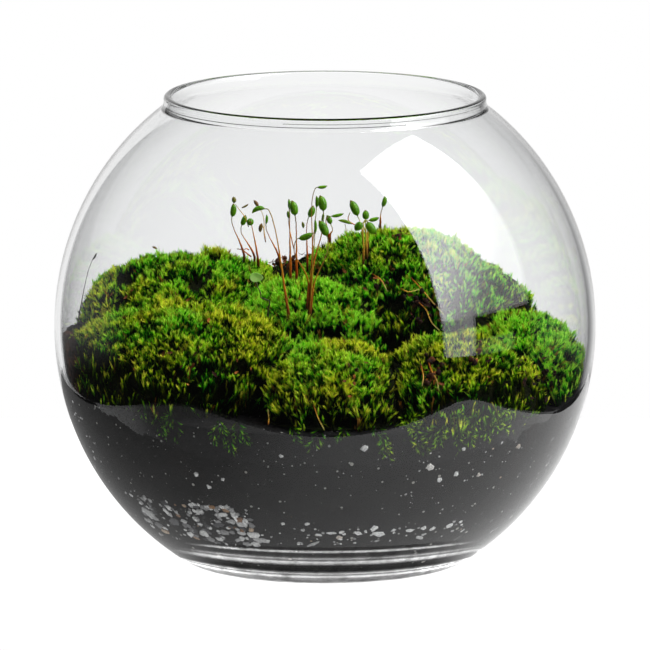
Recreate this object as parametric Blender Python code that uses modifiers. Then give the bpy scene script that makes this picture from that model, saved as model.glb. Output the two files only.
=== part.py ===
"""A round glass bowl planted as a terrarium: soil, moss cushions, stalked moss capsules and a seedling.

Metres, +Z up. The origin is the middle of the flat foot that the bowl stands on.
"""

import math
from collections import namedtuple

import bmesh
import bpy
from mathutils import Quaternion, Vector

MM = 0.001
FIT = 0.3 * MM  # clearance between two pieces that touch

# Bowl: a blown spheroid with a flat foot, a thick base and a rounded bead at the mouth.
BODY_RADIUS = 75.0 * MM
BODY_HALF_HEIGHT = 76.3 * MM
BODY_Z = 67.0 * MM
FOOT_RADIUS = 32.0 * MM
HEEL_HEIGHT = 1.6 * MM  # of the rounded step between the foot and the body
HEEL_KNEE = (0.55, 0.25)  # shares of its width, from the body, and of its height, from the foot
WALL = 2.0 * MM
BASE_THICKNESS = 7.0 * MM
LIP_RADIUS = 43.5 * MM
LIP_BEAD = 1.2 * MM
LIP_Z = 130.4 * MM
LIP_ARC = (200, -35, 5)  # degrees round the bead from the inside to the outside, and steps
NECK_Z = 128.0 * MM
CAVITY_HALF_UP = 75.2 * MM  # of the ellipse that the inside follows above the widest ring
CAVITY_HALF_DOWN = 73.8 * MM  # and of the one below it, which is cut off by the floor
FLOOR_FILLET = 4.5 * MM  # how far above the floor the wall starts to turn into it
FLOOR_STEPS = 4
BOWL_SIDES = 48
WALL_ARC_STEPS = 8

# Soil: level at the front glass, heaped into mounds towards the back.
SOIL_LEVEL = 48.0 * MM
Mound = namedtuple("Mound", "x y height spread")
SOIL_MOUNDS = [
    Mound(20, 26, 28, 26),
    Mound(-38, 24, 20, 22),
    Mound(-36, -18, 12, 18),
    Mound(60, -2, 8, 14),
    Mound(-70, 6, 12, 12),
]
TERRAIN_SIZE = 170.0 * MM
TERRAIN_CELLS = 22
TERRAIN_BOTTOM = -7.0 * MM
SOIL_TO_MOSS = 0.45 * MM  # measured upright, so that a slope keeps its clearance too

# Moss: domes that grow into each other, cut apart where their tops are equally high.
Cushion = namedtuple("Cushion", "x y z half_x half_y half_z")
MOSS_CUSHIONS = {
    "moss_front_left": Cushion(-38, -22, 56, 37, 34, 20),
    "moss_front_middle": Cushion(2, -38, 48.5, 25, 28, 20),
    "moss_front_right": Cushion(36, -35, 48.5, 25, 29, 22),
    "moss_left": Cushion(-38, 26, 64, 35, 31, 20),
    "moss_middle": Cushion(0, 4, 60, 31, 25, 20),
    "moss_right": Cushion(54, -4, 48, 22, 33, 25),
    "moss_back_left": Cushion(-4, 38, 61.5, 26, 31, 20),
    "moss_back_middle": Cushion(20, 21, 63.5, 35, 34, 28),
    "moss_back_right": Cushion(32, 47, 58, 32, 27, 22),
}
CUSHION_SEGMENTS = 18
CUSHION_RINGS = 9

# Sporophytes: a wiry stalk rooted in the moss, with a capsule at its end. Lean is the capsule's
# angle from upright towards +X, so beyond 90 degrees it nods.
SETA_RADIUS = 0.25 * MM
SETA_POINTS = 7
ROOT_DEPTH = 2.0 * MM
ROOT_PULL = 0.3  # share of the way to its capsule that a stalk grows before it bends
ROOT_RISE = 1.5 * MM  # how much more upright than that it starts
NECK_REACH = 3.0 * MM  # how far it lines up with its capsule
Sporophyte = namedtuple("Sporophyte", "root_x root_y x y z lean length width")
SPOROPHYTES = [
    Sporophyte(-22.6, 26.0, -25.8, 24.0, 94.9, 6, 3.9, 1.7),
    Sporophyte(-19.7, 29.0, -22.7, 27.0, 91.6, 20, 3.2, 1.5),
    Sporophyte(-18.6, 24.0, -20.8, 22.0, 92.0, 75, 2.0, 1.9),
    Sporophyte(-10.0, -14.0, -18.3, -10.0, 100.1, -109, 3.9, 1.3),
    Sporophyte(-12.5, 30.0, -16.4, 28.0, 91.7, 4, 2.7, 0.8),
    Sporophyte(-7.9, 6.0, -8.8, 4.0, 98.7, -12, 4.4, 2.2),
    Sporophyte(-9.6, 9.0, -10.0, 8.0, 99.2, -3, 2.9, 1.0),
    Sporophyte(-4.0, -14.0, -1.0, -10.0, 102.3, -12, 4.6, 2.3),
    Sporophyte(-5.4, -12.6, -2.4, -7.0, 102.3, 0, 3.3, 1.1),
    Sporophyte(-3.4, -11.2, -0.7, -5.0, 106.2, 82, 2.8, 0.9),
    Sporophyte(-4.9, 12.0, -3.9, 12.0, 96.5, 21, 3.5, 1.8),
    Sporophyte(-3.0, -15.4, -0.6, -13.0, 95.8, -27, 5.0, 2.2),
    Sporophyte(-5.0, -15.6, -2.8, -16.0, 96.9, 0, 4.2, 0.85),
    Sporophyte(-7.0, -11.5, -5.3, -9.5, 93.3, 69, 4.4, 1.7),
    Sporophyte(1.4, 28.0, 1.0, 27.0, 91.7, -24, 2.8, 1.5),
    Sporophyte(1.0, 25.0, 3.5, 24.0, 93.6, 78, 3.6, 0.9),
    Sporophyte(10.6, 10.6, 8.0, 10.5, 97.6, -25, 4.9, 2.2),
    Sporophyte(11.9, 7.4, 9.4, 6.5, 93.1, -135, 3.0, 2.2),
    Sporophyte(11.5, 3.6, 11.2, 4.0, 96.8, -2, 2.8, 1.9),
    Sporophyte(11.6, 9.0, 13.6, 8.5, 95.0, 75, 3.0, 1.1),
    Sporophyte(10.6, 1.4, 13.0, 2.0, 93.6, 144, 4.2, 2.3),
    Sporophyte(15.4, 22.0, 16.4, 20.0, 98.0, 14, 3.3, 1.3),
    Sporophyte(-69.0, 4.0, -64.0, 4.0, 85.5, 30, 2.2, 0.7),
]
SOCKET_SIDES = 6
SOCKET_RADIUS = SETA_RADIUS + 1.3 * FIT  # to the corners, so that the flats keep their clearance
SOCKET_DEPTH = 4 * ROOT_DEPTH
CAPSULE_SIDES = 8
CAPSULE_RINGS = 6
CAPSULE_SKEW = 0.9  # under 1 puts the widest ring nearer the tip
CAPSULE_FULLNESS = 0.7  # 1 is a sine bulge; less is blunter at both ends

# Seedling: one round leaf on a thin crooked stem.
SEEDLING_ROOT = (-15.7, -12.0)
SEEDLING_BENDS = [(-15.3, -12.4, 5.5), (-17.7, -12.6, 8.3), (-18.5, -12.4, 10.2)]  # x, y, above the root
SEEDLING_LEAF_Z = 82.1 * MM
SEEDLING_LEAF = (-18.9, -12.0)
LEAF_LENGTH = 3.7 * MM
LEAF_WIDTH = 2.5 * MM
LEAF_THICKNESS = 0.3 * MM
LEAF_TILT = 72  # degrees from lying flat
LEAF_CORNERS = 14
LEAF_TAPER = 0.25  # how much narrower than an ellipse its far end is

Finish = namedtuple("Finish", "colour roughness transmission")
FINISHES = {
    "clear_glass": Finish((0.95, 0.98, 0.97), 0.02, 1.0),
    "black_soil": Finish((0.015, 0.013, 0.012), 0.95, 0.0),
    "moss": Finish((0.11, 0.27, 0.02), 0.8, 0.0),
    "seta": Finish((0.30, 0.09, 0.03), 0.5, 0.0),
    "capsule": Finish((0.10, 0.25, 0.03), 0.4, 0.0),
    "seedling_leaf": Finish((0.30, 0.58, 0.20), 0.45, 0.0),
    "seedling_stem": Finish((0.10, 0.06, 0.03), 0.6, 0.0),
}


def clear_scene():
    for item in list(bpy.data.objects):
        bpy.data.objects.remove(item)


def new_collection(name):
    collection = bpy.data.collections.new(name)
    bpy.context.scene.collection.children.link(collection)
    return collection


def make_material(name):
    finish = FINISHES[name]
    material = bpy.data.materials.new(name)
    material.use_nodes = True
    shader = material.node_tree.nodes["Principled BSDF"]
    shader.inputs["Base Color"].default_value = (*finish.colour, 1)
    shader.inputs["Roughness"].default_value = finish.roughness
    shader.inputs["Metallic"].default_value = 0.0
    shader.inputs["Transmission Weight"].default_value = finish.transmission
    return material


def add_object(name, data, collection, material=None):
    item = bpy.data.objects.new(name, data)
    collection.objects.link(item)
    if material:
        data.materials.append(material)
    return item


def mesh_from(bm, name):
    mesh = bpy.data.meshes.new(name)
    bm.to_mesh(mesh)
    bm.free()
    return mesh


def hide_cutter(item):
    item.hide_render = True
    item.display_type = "WIRE"


def cut(item, operation, other, name):
    modifier = item.modifiers.new(name, "BOOLEAN")
    modifier.operation = operation
    modifier.object = other


def arc(centre_r, centre_z, half_r, half_z, start, end, steps):
    """Points (r, z) on an ellipse, from one angle in degrees to another."""
    points = []
    for i in range(steps + 1):
        angle = math.radians(start + (end - start) * i / steps)
        points.append((centre_r + half_r * math.cos(angle), centre_z + half_z * math.sin(angle)))
    return points


def ellipse_angle(z, half_z):
    """The angle in degrees at which an ellipse round the body's middle is at a height."""
    return math.degrees(math.asin((z - BODY_Z) / half_z))


def floor_fillet(radius, wall_foot, floor_z):
    """Points (r, z) from the flat floor up to the foot of the wall, which they leave out."""
    start, knee = (radius - 2 * FLOOR_FILLET, floor_z), (radius, floor_z)
    points = []
    for i in range(FLOOR_STEPS):
        t = i / FLOOR_STEPS
        weights = ((1 - t) ** 2, 2 * t * (1 - t), t * t)
        corners = (start, knee, wall_foot)
        points.append(tuple(sum(w * corner[k] for w, corner in zip(weights, corners)) for k in (0, 1)))
    return points


def cavity_outline(gap, top):
    """The inside of the bowl from the axis at the bottom up to a height, drawn in by a gap."""
    half_r = BODY_RADIUS - WALL - gap
    half_down, half_up = CAVITY_HALF_DOWN - gap, CAVITY_HALF_UP - gap
    floor_z = BASE_THICKNESS + gap
    foot_angle = ellipse_angle(floor_z + FLOOR_FILLET, half_down)
    below = arc(0, BODY_Z, half_r, half_down, foot_angle, 0, WALL_ARC_STEPS)
    above = arc(0, BODY_Z, half_r, half_up, 0, ellipse_angle(top, half_up), WALL_ARC_STEPS)
    floor_r = half_r * math.cos(math.radians(ellipse_angle(floor_z, half_down)))
    return [(0.0, floor_z)] + floor_fillet(floor_r, below[0], floor_z) + below + above[1:]


def turned(name, outline, sides, collection, material=None):
    """A solid turned about Z from an outline (r, z) that runs down its outer side."""
    bm = bmesh.new()
    corners = [bm.verts.new((r, 0, z)) for r, z in outline]
    for first, second in zip(corners, corners[1:]):
        bm.edges.new((first, second))
    item = add_object(name, mesh_from(bm, name), collection, material)
    screw = item.modifiers.new("turn", "SCREW")
    screw.steps = screw.render_steps = sides
    screw.use_merge_vertices = True
    screw.merge_threshold = 0.01 * MM
    return item


def make_bowl(parts, material):
    inside = cavity_outline(0.0, NECK_Z)
    bead = arc(LIP_RADIUS, LIP_Z, LIP_BEAD, LIP_BEAD, *LIP_ARC)
    neck_angle = ellipse_angle(NECK_Z, BODY_HALF_HEIGHT)
    heel_angle = ellipse_angle(HEEL_HEIGHT, BODY_HALF_HEIGHT)
    body = arc(0, BODY_Z, BODY_RADIUS, BODY_HALF_HEIGHT, neck_angle, 0, WALL_ARC_STEPS)
    body += arc(0, BODY_Z, BODY_RADIUS, BODY_HALF_HEIGHT, 0, heel_angle, WALL_ARC_STEPS)[1:]
    inward, up = HEEL_KNEE
    heel_r = body[-1][0]
    knee = (heel_r + (FOOT_RADIUS - heel_r) * inward, HEEL_HEIGHT * up)
    heel = [knee, (FOOT_RADIUS, 0.0), (0.0, 0.0)]
    return turned("glass_bowl", inside + bead + body + heel, BOWL_SIDES, parts, material)


def make_cavity_cutter(cutters):
    """What fits inside the bowl with clearance, up to the neck."""
    outline = cavity_outline(FIT, NECK_Z)[::-1]
    cavity = turned("cavity", [(0.0, NECK_Z)] + outline, BOWL_SIDES, cutters)
    hide_cutter(cavity)
    return cavity


def soil_height(x, y):
    height = SOIL_LEVEL
    for mound in SOIL_MOUNDS:
        across = (x - mound.x * MM) ** 2 + (y - mound.y * MM) ** 2
        height += mound.height * MM * math.exp(-across / (2 * (mound.spread * MM) ** 2))
    return height


def make_terrain_mesh():
    """A block whose top is the ground, wider than the bowl and reaching below it."""
    bm = bmesh.new()
    bmesh.ops.create_grid(bm, x_segments=TERRAIN_CELLS, y_segments=TERRAIN_CELLS, size=TERRAIN_SIZE / 2)
    for vert in bm.verts:
        vert.co.z = soil_height(vert.co.x, vert.co.y)
    sides = bmesh.ops.extrude_face_region(bm, geom=bm.faces[:])["geom"]
    for vert in (part for part in sides if isinstance(part, bmesh.types.BMVert)):
        vert.co.z = TERRAIN_BOTTOM
    bmesh.ops.triangulate(bm, faces=bm.faces[:])
    bmesh.ops.recalc_face_normals(bm, faces=bm.faces[:])
    return mesh_from(bm, "terrain")


def make_terrain_cutters(cutters):
    """The ground itself, and a copy raised by the clearance that the moss keeps."""
    mesh = make_terrain_mesh()
    ground = add_object("ground", mesh, cutters)
    raised = add_object("ground_raised", mesh, cutters)
    raised.location.z = SOIL_TO_MOSS
    hide_cutter(ground)
    hide_cutter(raised)
    return ground, raised


def make_soil(parts, material, ground, sockets):
    outline = cavity_outline(FIT, NECK_Z)[::-1]
    soil = turned("soil_bed", [(0.0, NECK_Z)] + outline, BOWL_SIDES, parts, material)
    cut(soil, "INTERSECT", ground, "ground line")
    cut(soil, "DIFFERENCE", sockets, "stalk sockets")
    return soil


def dome_height(cushion, x, y):
    """How high a cushion stands over a point, or its middle height outside it."""
    across = ((x / MM - cushion.x) / cushion.half_x) ** 2 + ((y / MM - cushion.y) / cushion.half_y) ** 2
    return (cushion.z + cushion.half_z * math.sqrt(max(0.0, 1 - across))) * MM


def surface_height(x, y):
    """The top of the planting, moss or bare soil."""
    heights = [soil_height(x, y)]
    for cushion in MOSS_CUSHIONS.values():
        height = dome_height(cushion, x, y)
        if height > cushion.z * MM:
            heights.append(height)
    return max(heights)


def meeting_point(one, other):
    """Where, on the line between two cushions, their tops are equally high, or None if they don't meet."""
    start, end = Vector((one.x, one.y)) * MM, Vector((other.x, other.y)) * MM
    low, high = 0.0, 1.0
    for _ in range(30):
        middle = (low + high) / 2
        at = start.lerp(end, middle)
        if dome_height(one, at.x, at.y) > dome_height(other, at.x, at.y):
            low = middle
        else:
            high = middle
    at = start.lerp(end, low)
    apart = dome_height(one, at.x, at.y) <= one.z * MM or dome_height(other, at.x, at.y) <= other.z * MM
    return None if apart else at


def slice_off(bm, point, outward):
    """Removes what lies beyond an upright plane and closes the cut."""
    everything = bm.verts[:] + bm.edges[:] + bm.faces[:]
    cut_geometry = bmesh.ops.bisect_plane(
        bm, geom=everything, dist=0.001 * MM, plane_co=point, plane_no=outward, clear_outer=True
    )["geom_cut"]
    rim = [part for part in cut_geometry if isinstance(part, bmesh.types.BMEdge)]
    if rim:
        bmesh.ops.contextual_create(bm, geom=rim)


def make_cushion(name, parts, material, cavity, raised, sockets):
    cushion = MOSS_CUSHIONS[name]
    bm = bmesh.new()
    bmesh.ops.create_uvsphere(bm, u_segments=CUSHION_SEGMENTS, v_segments=CUSHION_RINGS, radius=1)
    bmesh.ops.scale(bm, vec=[half * MM for half in cushion[3:]], verts=bm.verts[:])
    bmesh.ops.translate(bm, vec=[middle * MM for middle in cushion[:3]], verts=bm.verts[:])
    for other_name, other in MOSS_CUSHIONS.items():
        meeting = meeting_point(cushion, other) if other_name != name else None
        if meeting is None:
            continue
        outward = Vector((other.x - cushion.x, other.y - cushion.y, 0)).normalized()
        edge = Vector((meeting.x, meeting.y, 0)) - outward * FIT / 2
        slice_off(bm, edge, outward)
    item = add_object(name, mesh_from(bm, name), parts, material)
    cut(item, "INTERSECT", cavity, "bowl")
    cut(item, "DIFFERENCE", raised, "ground")
    cut(item, "DIFFERENCE", sockets, "stalk sockets")
    return item


def capsule_axis(sporophyte):
    """The direction from a capsule's neck to its tip."""
    lean = math.radians(sporophyte.lean)
    return Vector((math.sin(lean), 0, math.cos(lean)))


def root_of(x, y):
    """A stalk's lower end, sunk below the surface at a place given in millimetres."""
    return Vector((x * MM, y * MM, surface_height(x * MM, y * MM) - ROOT_DEPTH))


def seta_path(sporophyte):
    """From the socket straight up, then in one curve to the capsule's neck."""
    root = root_of(sporophyte.root_x, sporophyte.root_y)
    axis = capsule_axis(sporophyte)
    centre = Vector((sporophyte.x, sporophyte.y, sporophyte.z)) * MM
    neck = centre - axis * (sporophyte.length * MM / 2 + FIT)
    start = root + Vector((0, 0, ROOT_DEPTH))
    rise = start.lerp(neck, ROOT_PULL) + Vector((0, 0, ROOT_RISE))
    bend = neck - axis * NECK_REACH
    points = [root]
    for i in range(SETA_POINTS):
        t = i / (SETA_POINTS - 1)
        points.append(
            start * (1 - t) ** 3 + rise * 3 * t * (1 - t) ** 2 + bend * 3 * t * t * (1 - t) + neck * t**3
        )
    return points


def wire(name, points, radius, collection, material):
    curve = bpy.data.curves.new(name, "CURVE")
    curve.dimensions = "3D"
    curve.bevel_depth = radius
    curve.bevel_resolution = 1
    curve.use_fill_caps = True
    spline = curve.splines.new("POLY")
    spline.points.add(len(points) - 1)
    for corner, point in zip(spline.points, points):
        corner.co = (*point, 1)
    return add_object(name, curve, collection, material)


def make_capsule(name, sporophyte, parts, material):
    """An egg that narrows to its neck and ends in a short beak, from neck to tip along its own Z."""
    length, width = sporophyte.length * MM, sporophyte.width * MM
    outline = []
    for i in range(CAPSULE_RINGS, -1, -1):
        t = i / CAPSULE_RINGS
        bulge = math.sin(math.pi * t**CAPSULE_SKEW) ** CAPSULE_FULLNESS if 0 < i < CAPSULE_RINGS else 0.0
        outline.append((width / 2 * bulge, length * (t - 0.5)))
    item = turned(name, outline, CAPSULE_SIDES, parts, material)
    item.location = Vector((sporophyte.x, sporophyte.y, sporophyte.z)) * MM
    item.rotation_mode = "QUATERNION"
    item.rotation_quaternion = Quaternion((0, 1, 0), math.radians(sporophyte.lean))
    return item


def make_sockets(cutters):
    """One pit for each stalk, a clearance wider than it."""
    bm = bmesh.new()
    roots = [root_of(s.root_x, s.root_y) for s in SPOROPHYTES] + [root_of(*SEEDLING_ROOT)]
    for root in roots:
        made = bmesh.ops.create_cone(
            bm,
            cap_ends=True,
            segments=SOCKET_SIDES,
            radius1=SOCKET_RADIUS,
            radius2=SOCKET_RADIUS,
            depth=SOCKET_DEPTH,
        )["verts"]
        bmesh.ops.translate(bm, vec=root + Vector((0, 0, SOCKET_DEPTH / 2 - FIT)), verts=made)
    sockets = add_object("stalk_sockets", mesh_from(bm, "stalk_sockets"), cutters)
    hide_cutter(sockets)
    return sockets


def make_seedling(parts, stem_material, leaf_material):
    root = root_of(*SEEDLING_ROOT)
    leaf_at = Vector((SEEDLING_LEAF[0] * MM, SEEDLING_LEAF[1] * MM, SEEDLING_LEAF_Z))
    collar = root + Vector((0, 0, ROOT_DEPTH))
    bends = [Vector((x * MM, y * MM, root.z + z * MM)) for x, y, z in SEEDLING_BENDS]
    tip = leaf_at - Vector((0, LEAF_THICKNESS, LEAF_WIDTH / 2 + FIT))
    wire("seedling_stem", [root, collar] + bends + [tip], SETA_RADIUS, parts, stem_material)

    outline = bpy.data.curves.new("seedling_leaf", "CURVE")
    outline.dimensions = "2D"
    outline.fill_mode = "BOTH"
    outline.extrude = LEAF_THICKNESS / 2
    spline = outline.splines.new("POLY")
    spline.points.add(LEAF_CORNERS - 1)
    spline.use_cyclic_u = True
    for i, corner in enumerate(spline.points):
        angle = 2 * math.pi * i / LEAF_CORNERS
        taper = 1 - LEAF_TAPER * math.cos(angle)
        corner.co = (LEAF_LENGTH / 2 * math.cos(angle), LEAF_WIDTH / 2 * taper * math.sin(angle), 0, 1)
    leaf = add_object("seedling_leaf", outline, parts, leaf_material)
    leaf.location = leaf_at
    leaf.rotation_euler.x = math.radians(LEAF_TILT)


def smooth_rounds(items):
    """Round pieces are shaded smooth; flats and cuts stay sharp."""
    for item in items:
        if item.type == "MESH":
            item.data.shade_smooth()
            for modifier in item.modifiers:
                if modifier.type == "SCREW":
                    modifier.use_smooth_shade = True


def main():
    clear_scene()
    parts = new_collection("glass_plant_terrarium")
    cutters = new_collection("cutters")
    materials = {name: make_material(name) for name in FINISHES}

    make_bowl(parts, materials["clear_glass"])
    cavity = make_cavity_cutter(cutters)
    ground, raised = make_terrain_cutters(cutters)
    sockets = make_sockets(cutters)
    make_soil(parts, materials["black_soil"], ground, sockets)
    for name in MOSS_CUSHIONS:
        make_cushion(name, parts, materials["moss"], cavity, raised, sockets)
    for number, sporophyte in enumerate(SPOROPHYTES, 1):
        wire(f"seta_{number:02d}", seta_path(sporophyte), SETA_RADIUS, parts, materials["seta"])
        make_capsule(f"capsule_{number:02d}", sporophyte, parts, materials["capsule"])
    make_seedling(parts, materials["seedling_stem"], materials["seedling_leaf"])
    smooth_rounds(parts.objects)


main()
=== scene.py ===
import math

import bmesh
import bpy
import numpy as np
from mathutils import Matrix, Vector, noise
from mathutils.bvhtree import BVHTree


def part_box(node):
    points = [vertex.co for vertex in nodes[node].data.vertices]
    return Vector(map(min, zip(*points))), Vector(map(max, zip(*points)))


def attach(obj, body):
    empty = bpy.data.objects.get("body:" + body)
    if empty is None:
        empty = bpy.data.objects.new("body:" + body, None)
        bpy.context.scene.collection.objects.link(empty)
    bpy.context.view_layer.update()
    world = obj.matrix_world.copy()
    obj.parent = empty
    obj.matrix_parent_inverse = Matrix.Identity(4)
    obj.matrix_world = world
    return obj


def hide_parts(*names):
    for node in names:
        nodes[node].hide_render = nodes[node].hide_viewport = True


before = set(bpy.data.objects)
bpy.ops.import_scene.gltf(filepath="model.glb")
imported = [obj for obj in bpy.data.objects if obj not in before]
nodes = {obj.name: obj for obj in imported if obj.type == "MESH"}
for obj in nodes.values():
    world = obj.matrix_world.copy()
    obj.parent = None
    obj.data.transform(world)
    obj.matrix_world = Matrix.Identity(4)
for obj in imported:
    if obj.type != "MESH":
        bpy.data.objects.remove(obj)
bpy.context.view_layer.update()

mm = 0.001
scene = bpy.context.scene
mossNodes = sorted(name for name in nodes if name.startswith("moss_"))


def addObject(name, data):
    added = bpy.data.objects.new(name, data)
    scene.collection.objects.link(added)
    return added


def addPiece(name, mesh, standsFor=(), finish=None):
    piece = addObject(name, mesh)
    if finish:
        mesh.materials.append(finish)
    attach(piece, "root")
    if standsFor:
        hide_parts(*standsFor)


def addLayers(mesh, layers):
    # values that the materials read at each point
    for layer, values in layers.items():
        mesh.attributes.new(layer, "FLOAT", "POINT").data.foreach_set("value", np.asarray(values, np.float32))


def smoothMesh(name, points, faces, layers=None):
    mesh = bpy.data.meshes.new(name)
    mesh.from_pydata(np.asarray(points).tolist(), [], faces)
    mesh.shade_smooth()
    addLayers(mesh, layers or {})
    return mesh


def triangleMesh(name, points, faces, smooth=False, layers=None):
    # the quick way for many triangles
    mesh = bpy.data.meshes.new(name)
    faces = np.asarray(faces, np.int32)
    mesh.vertices.add(len(points))
    mesh.vertices.foreach_set("co", np.asarray(points, np.float32).ravel())
    mesh.loops.add(faces.size)
    mesh.loops.foreach_set("vertex_index", faces.ravel())
    mesh.polygons.add(len(faces))
    mesh.polygons.foreach_set("loop_start", np.arange(0, faces.size, 3, dtype=np.int32))
    mesh.polygons.foreach_set("use_smooth", np.full(len(faces), smooth))
    mesh.update(calc_edges=True)
    addLayers(mesh, layers or {})
    return mesh


def turnFacesOut(mesh):
    bm = bmesh.new()
    bm.from_mesh(mesh)
    bmesh.ops.recalc_face_normals(bm, faces=bm.faces[:])
    bm.to_mesh(mesh)
    bm.free()


def ringFaces(rings, around, order=(0, 1, 3, 2)):
    # the four-cornered faces between rings of points, and the corners of each cell in the order asked for
    i = np.arange(rings - 1)[:, None] * around
    j = np.arange(around)[None, :]
    k = (j + 1) % around
    cell = np.broadcast_arrays(i + j, i + k, i + around + j, i + around + k)
    return np.stack([cell[corner] for corner in order], axis=-1).reshape(-1, 4)


def unit(vectors):
    return vectors / np.maximum(np.linalg.norm(vectors, axis=-1, keepdims=True), 1e-12)


def nodePoints(name):
    return np.array([v.co for v in nodes[name].data.vertices])


def treeOf(names):
    points, faces = [], []
    for name in names:
        mesh = nodes[name].data
        start = len(points)
        points += [v.co.copy() for v in mesh.vertices]
        faces += [[start + i for i in p.vertices] for p in mesh.polygons]
    return BVHTree.FromPolygons(points, faces)


bowl = {
    "radius": 75.0 * mm,
    "halfHeight": 76.3 * mm,
    "middle": 67.0 * mm,
    "wall": 2.0 * mm,
    "baseThickness": 7.0 * mm,
    "insideHalfUp": 75.2 * mm,
    "insideHalfDown": 73.8 * mm,
    "floorFillet": 4.5 * mm,
    "footRadius": 32.0 * mm,
    "heelHeight": 1.6 * mm,
    "lipRadius": 43.5 * mm,
    "lipBead": 1.2 * mm,
    "lipHeight": 130.4 * mm,
    "neckHeight": 128.0 * mm,
    "segments": 192,
    # thin rings on the outside of the lip, tinted dark as painted shade for the dark line that the edge of
    # thick glass shows: heights from and to, and places across from and to; the two lower ones are at the
    # front only
    "paintedShadeRings": [
        (131.22 * mm, 132.0 * mm, -1, 1), (129.98 * mm, 130.12 * mm, -0.012, 1),
        (129.00 * mm, 129.20 * mm, -1, 0.022),
    ],
    "beadAngles": (200, -35),
    "crowd": 1.8,                   # how much closer the outline's points are near the neck
    "heel": (0.55, 0.25),           # how far the heel's curve reaches in and up
    # how many points each part of the outline has
    "steps": {"floor": 10, "fillet": 15, "below": 36, "above": 44, "bead": 18, "lower": 40, "heel": 7,
              "foot": 8},
}


def insideRadius(z):
    # how far the inner face of the glass is from the axis at height z: a wall above and below its
    # widest ring, and a fillet that turns it into the flat floor
    z = np.asarray(z, float)
    reach = bowl["radius"] - bowl["wall"]
    fillet, floor = bowl["floorFillet"], bowl["baseThickness"]
    half = np.where(z < bowl["middle"], bowl["insideHalfDown"], bowl["insideHalfUp"])
    wall = reach * np.sqrt(1 - np.clip(np.abs(z - bowl["middle"]) / half, 0, 1) ** 2)
    knee = reach * math.sqrt(1 - ((bowl["middle"] - floor) / bowl["insideHalfDown"]) ** 2)
    foot = reach * math.sqrt(1 - ((bowl["middle"] - floor - fillet) / bowl["insideHalfDown"]) ** 2)
    t = np.sqrt(np.clip((z - floor) / fillet, 0, 1))
    turn = (knee - 2 * fillet) * (1 - t) ** 2 + 2 * t * (1 - t) * knee + t**2 * foot
    return np.where(z < floor + fillet, turn, wall)


def keepInside(points, gap):
    # pulls points that are past the glass back to a gap from it
    across = np.linalg.norm(points[:, :2], axis=1)
    limit = insideRadius(points[:, 2]) - gap
    scale = np.minimum(1.0, limit / np.maximum(across, 1e-9))
    points[:, :2] *= scale[:, None]
    return points


def newGroup(name, inputs, outputs):
    group = bpy.data.node_groups.new(name, "ShaderNodeTree")
    for label, kind, value in inputs:
        socket = group.interface.new_socket(label, in_out="INPUT", socket_type="NodeSocket" + kind)
        socket.default_value = value
    for label, kind in outputs:
        group.interface.new_socket(label, in_out="OUTPUT", socket_type="NodeSocket" + kind)
    tree = Tree(group)
    return group, tree, tree.add("NodeGroupInput").outputs, tree.add("NodeGroupOutput").inputs


class Tree:
    # short ways to add and join shader nodes
    def __init__(self, tree):
        self.tree = tree

    def add(self, kind, **settings):
        node = self.tree.nodes.new(kind)
        for key, value in settings.items():
            setattr(node, key, value)
        return node

    def join(self, source, target):
        self.tree.links.new(source, target)

    def feed(self, socket, value):
        # a number, a colour, or another node's output
        if isinstance(value, (int, float)):
            socket.default_value = value
        elif isinstance(value, tuple):
            socket.default_value = (*value, 1)
        else:
            self.join(value, socket)

    def math(self, operation, *values, clamp=False):
        node = self.add("ShaderNodeMath", operation=operation, use_clamp=clamp)
        for socket, value in zip(node.inputs, values):
            self.feed(socket, value)
        return node.outputs[0]

    def times(self, first, second):
        return self.math("MULTIPLY", first, second)

    def most(self, first, second):
        return self.math("MAXIMUM", first, second)

    def over(self, first, second):
        return self.math("GREATER_THAN", first, second)

    def under(self, first, second):
        return self.math("LESS_THAN", first, second)

    def between(self, share, low, high):
        return self.math("MULTIPLY_ADD", self.math("SUBTRACT", high, low), share, low)

    def stretch(self, value, gain, shift):
        return self.math("MULTIPLY_ADD", value, gain, shift, clamp=True)

    def mix(self, factor, first, second, blend="MIX"):
        node = self.add("ShaderNodeMix", data_type="RGBA", blend_type=blend)
        for i, value in ((0, factor), (6, first), (7, second)):
            self.feed(node.inputs[i], value)
        return node.outputs[2]

    def fade(self, value, start, end, low=0.0, high=1.0):
        # a soft step from low to high while the value goes from start to end
        node = self.add("ShaderNodeMapRange", interpolation_type="SMOOTHSTEP")
        for socket, given in zip(node.inputs, (value, start, end, low, high)):
            self.feed(socket, given)
        return node.outputs[0]

    def split(self, vector):
        node = self.add("ShaderNodeSeparateXYZ")
        self.join(vector, node.inputs[0])
        return node.outputs

    def ramp(self, factor, stops, smooth=False):
        node = self.add("ShaderNodeValToRGB")
        node.color_ramp.interpolation = "B_SPLINE" if smooth else "LINEAR"
        elements = node.color_ramp.elements
        while len(elements) < len(stops):
            elements.new(0.5)
        for element, (position, colour) in zip(elements, stops):
            element.position = position
            element.color = (*colour, 1)
        self.join(factor, node.inputs[0])
        return node.outputs[0]

    def noise(self, vector, scale, detail=3.0, roughness=0.6):
        node = self.add("ShaderNodeTexNoise")
        labels = ("Vector", "Scale", "Detail", "Roughness")
        for label, value in zip(labels, (vector, scale, detail, roughness)):
            self.feed(node.inputs[label], value)
        return node.outputs["Fac"]

    def place(self):
        return self.add("ShaderNodeTexCoord").outputs["Object"]

    def layer(self, name):
        return self.add("ShaderNodeAttribute", attribute_name=name).outputs["Fac"]

    def bump(self, height, strength, distance):
        node = self.add("ShaderNodeBump")
        for label, value in (("Height", height), ("Strength", strength), ("Distance", distance)):
            self.feed(node.inputs[label], value)
        return node.outputs["Normal"]

    def use(self, group, output, **values):
        node = self.add("ShaderNodeGroup", node_tree=group)
        for label, value in values.items():
            self.feed(node.inputs[label], value)
        return node.outputs[output]


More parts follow.
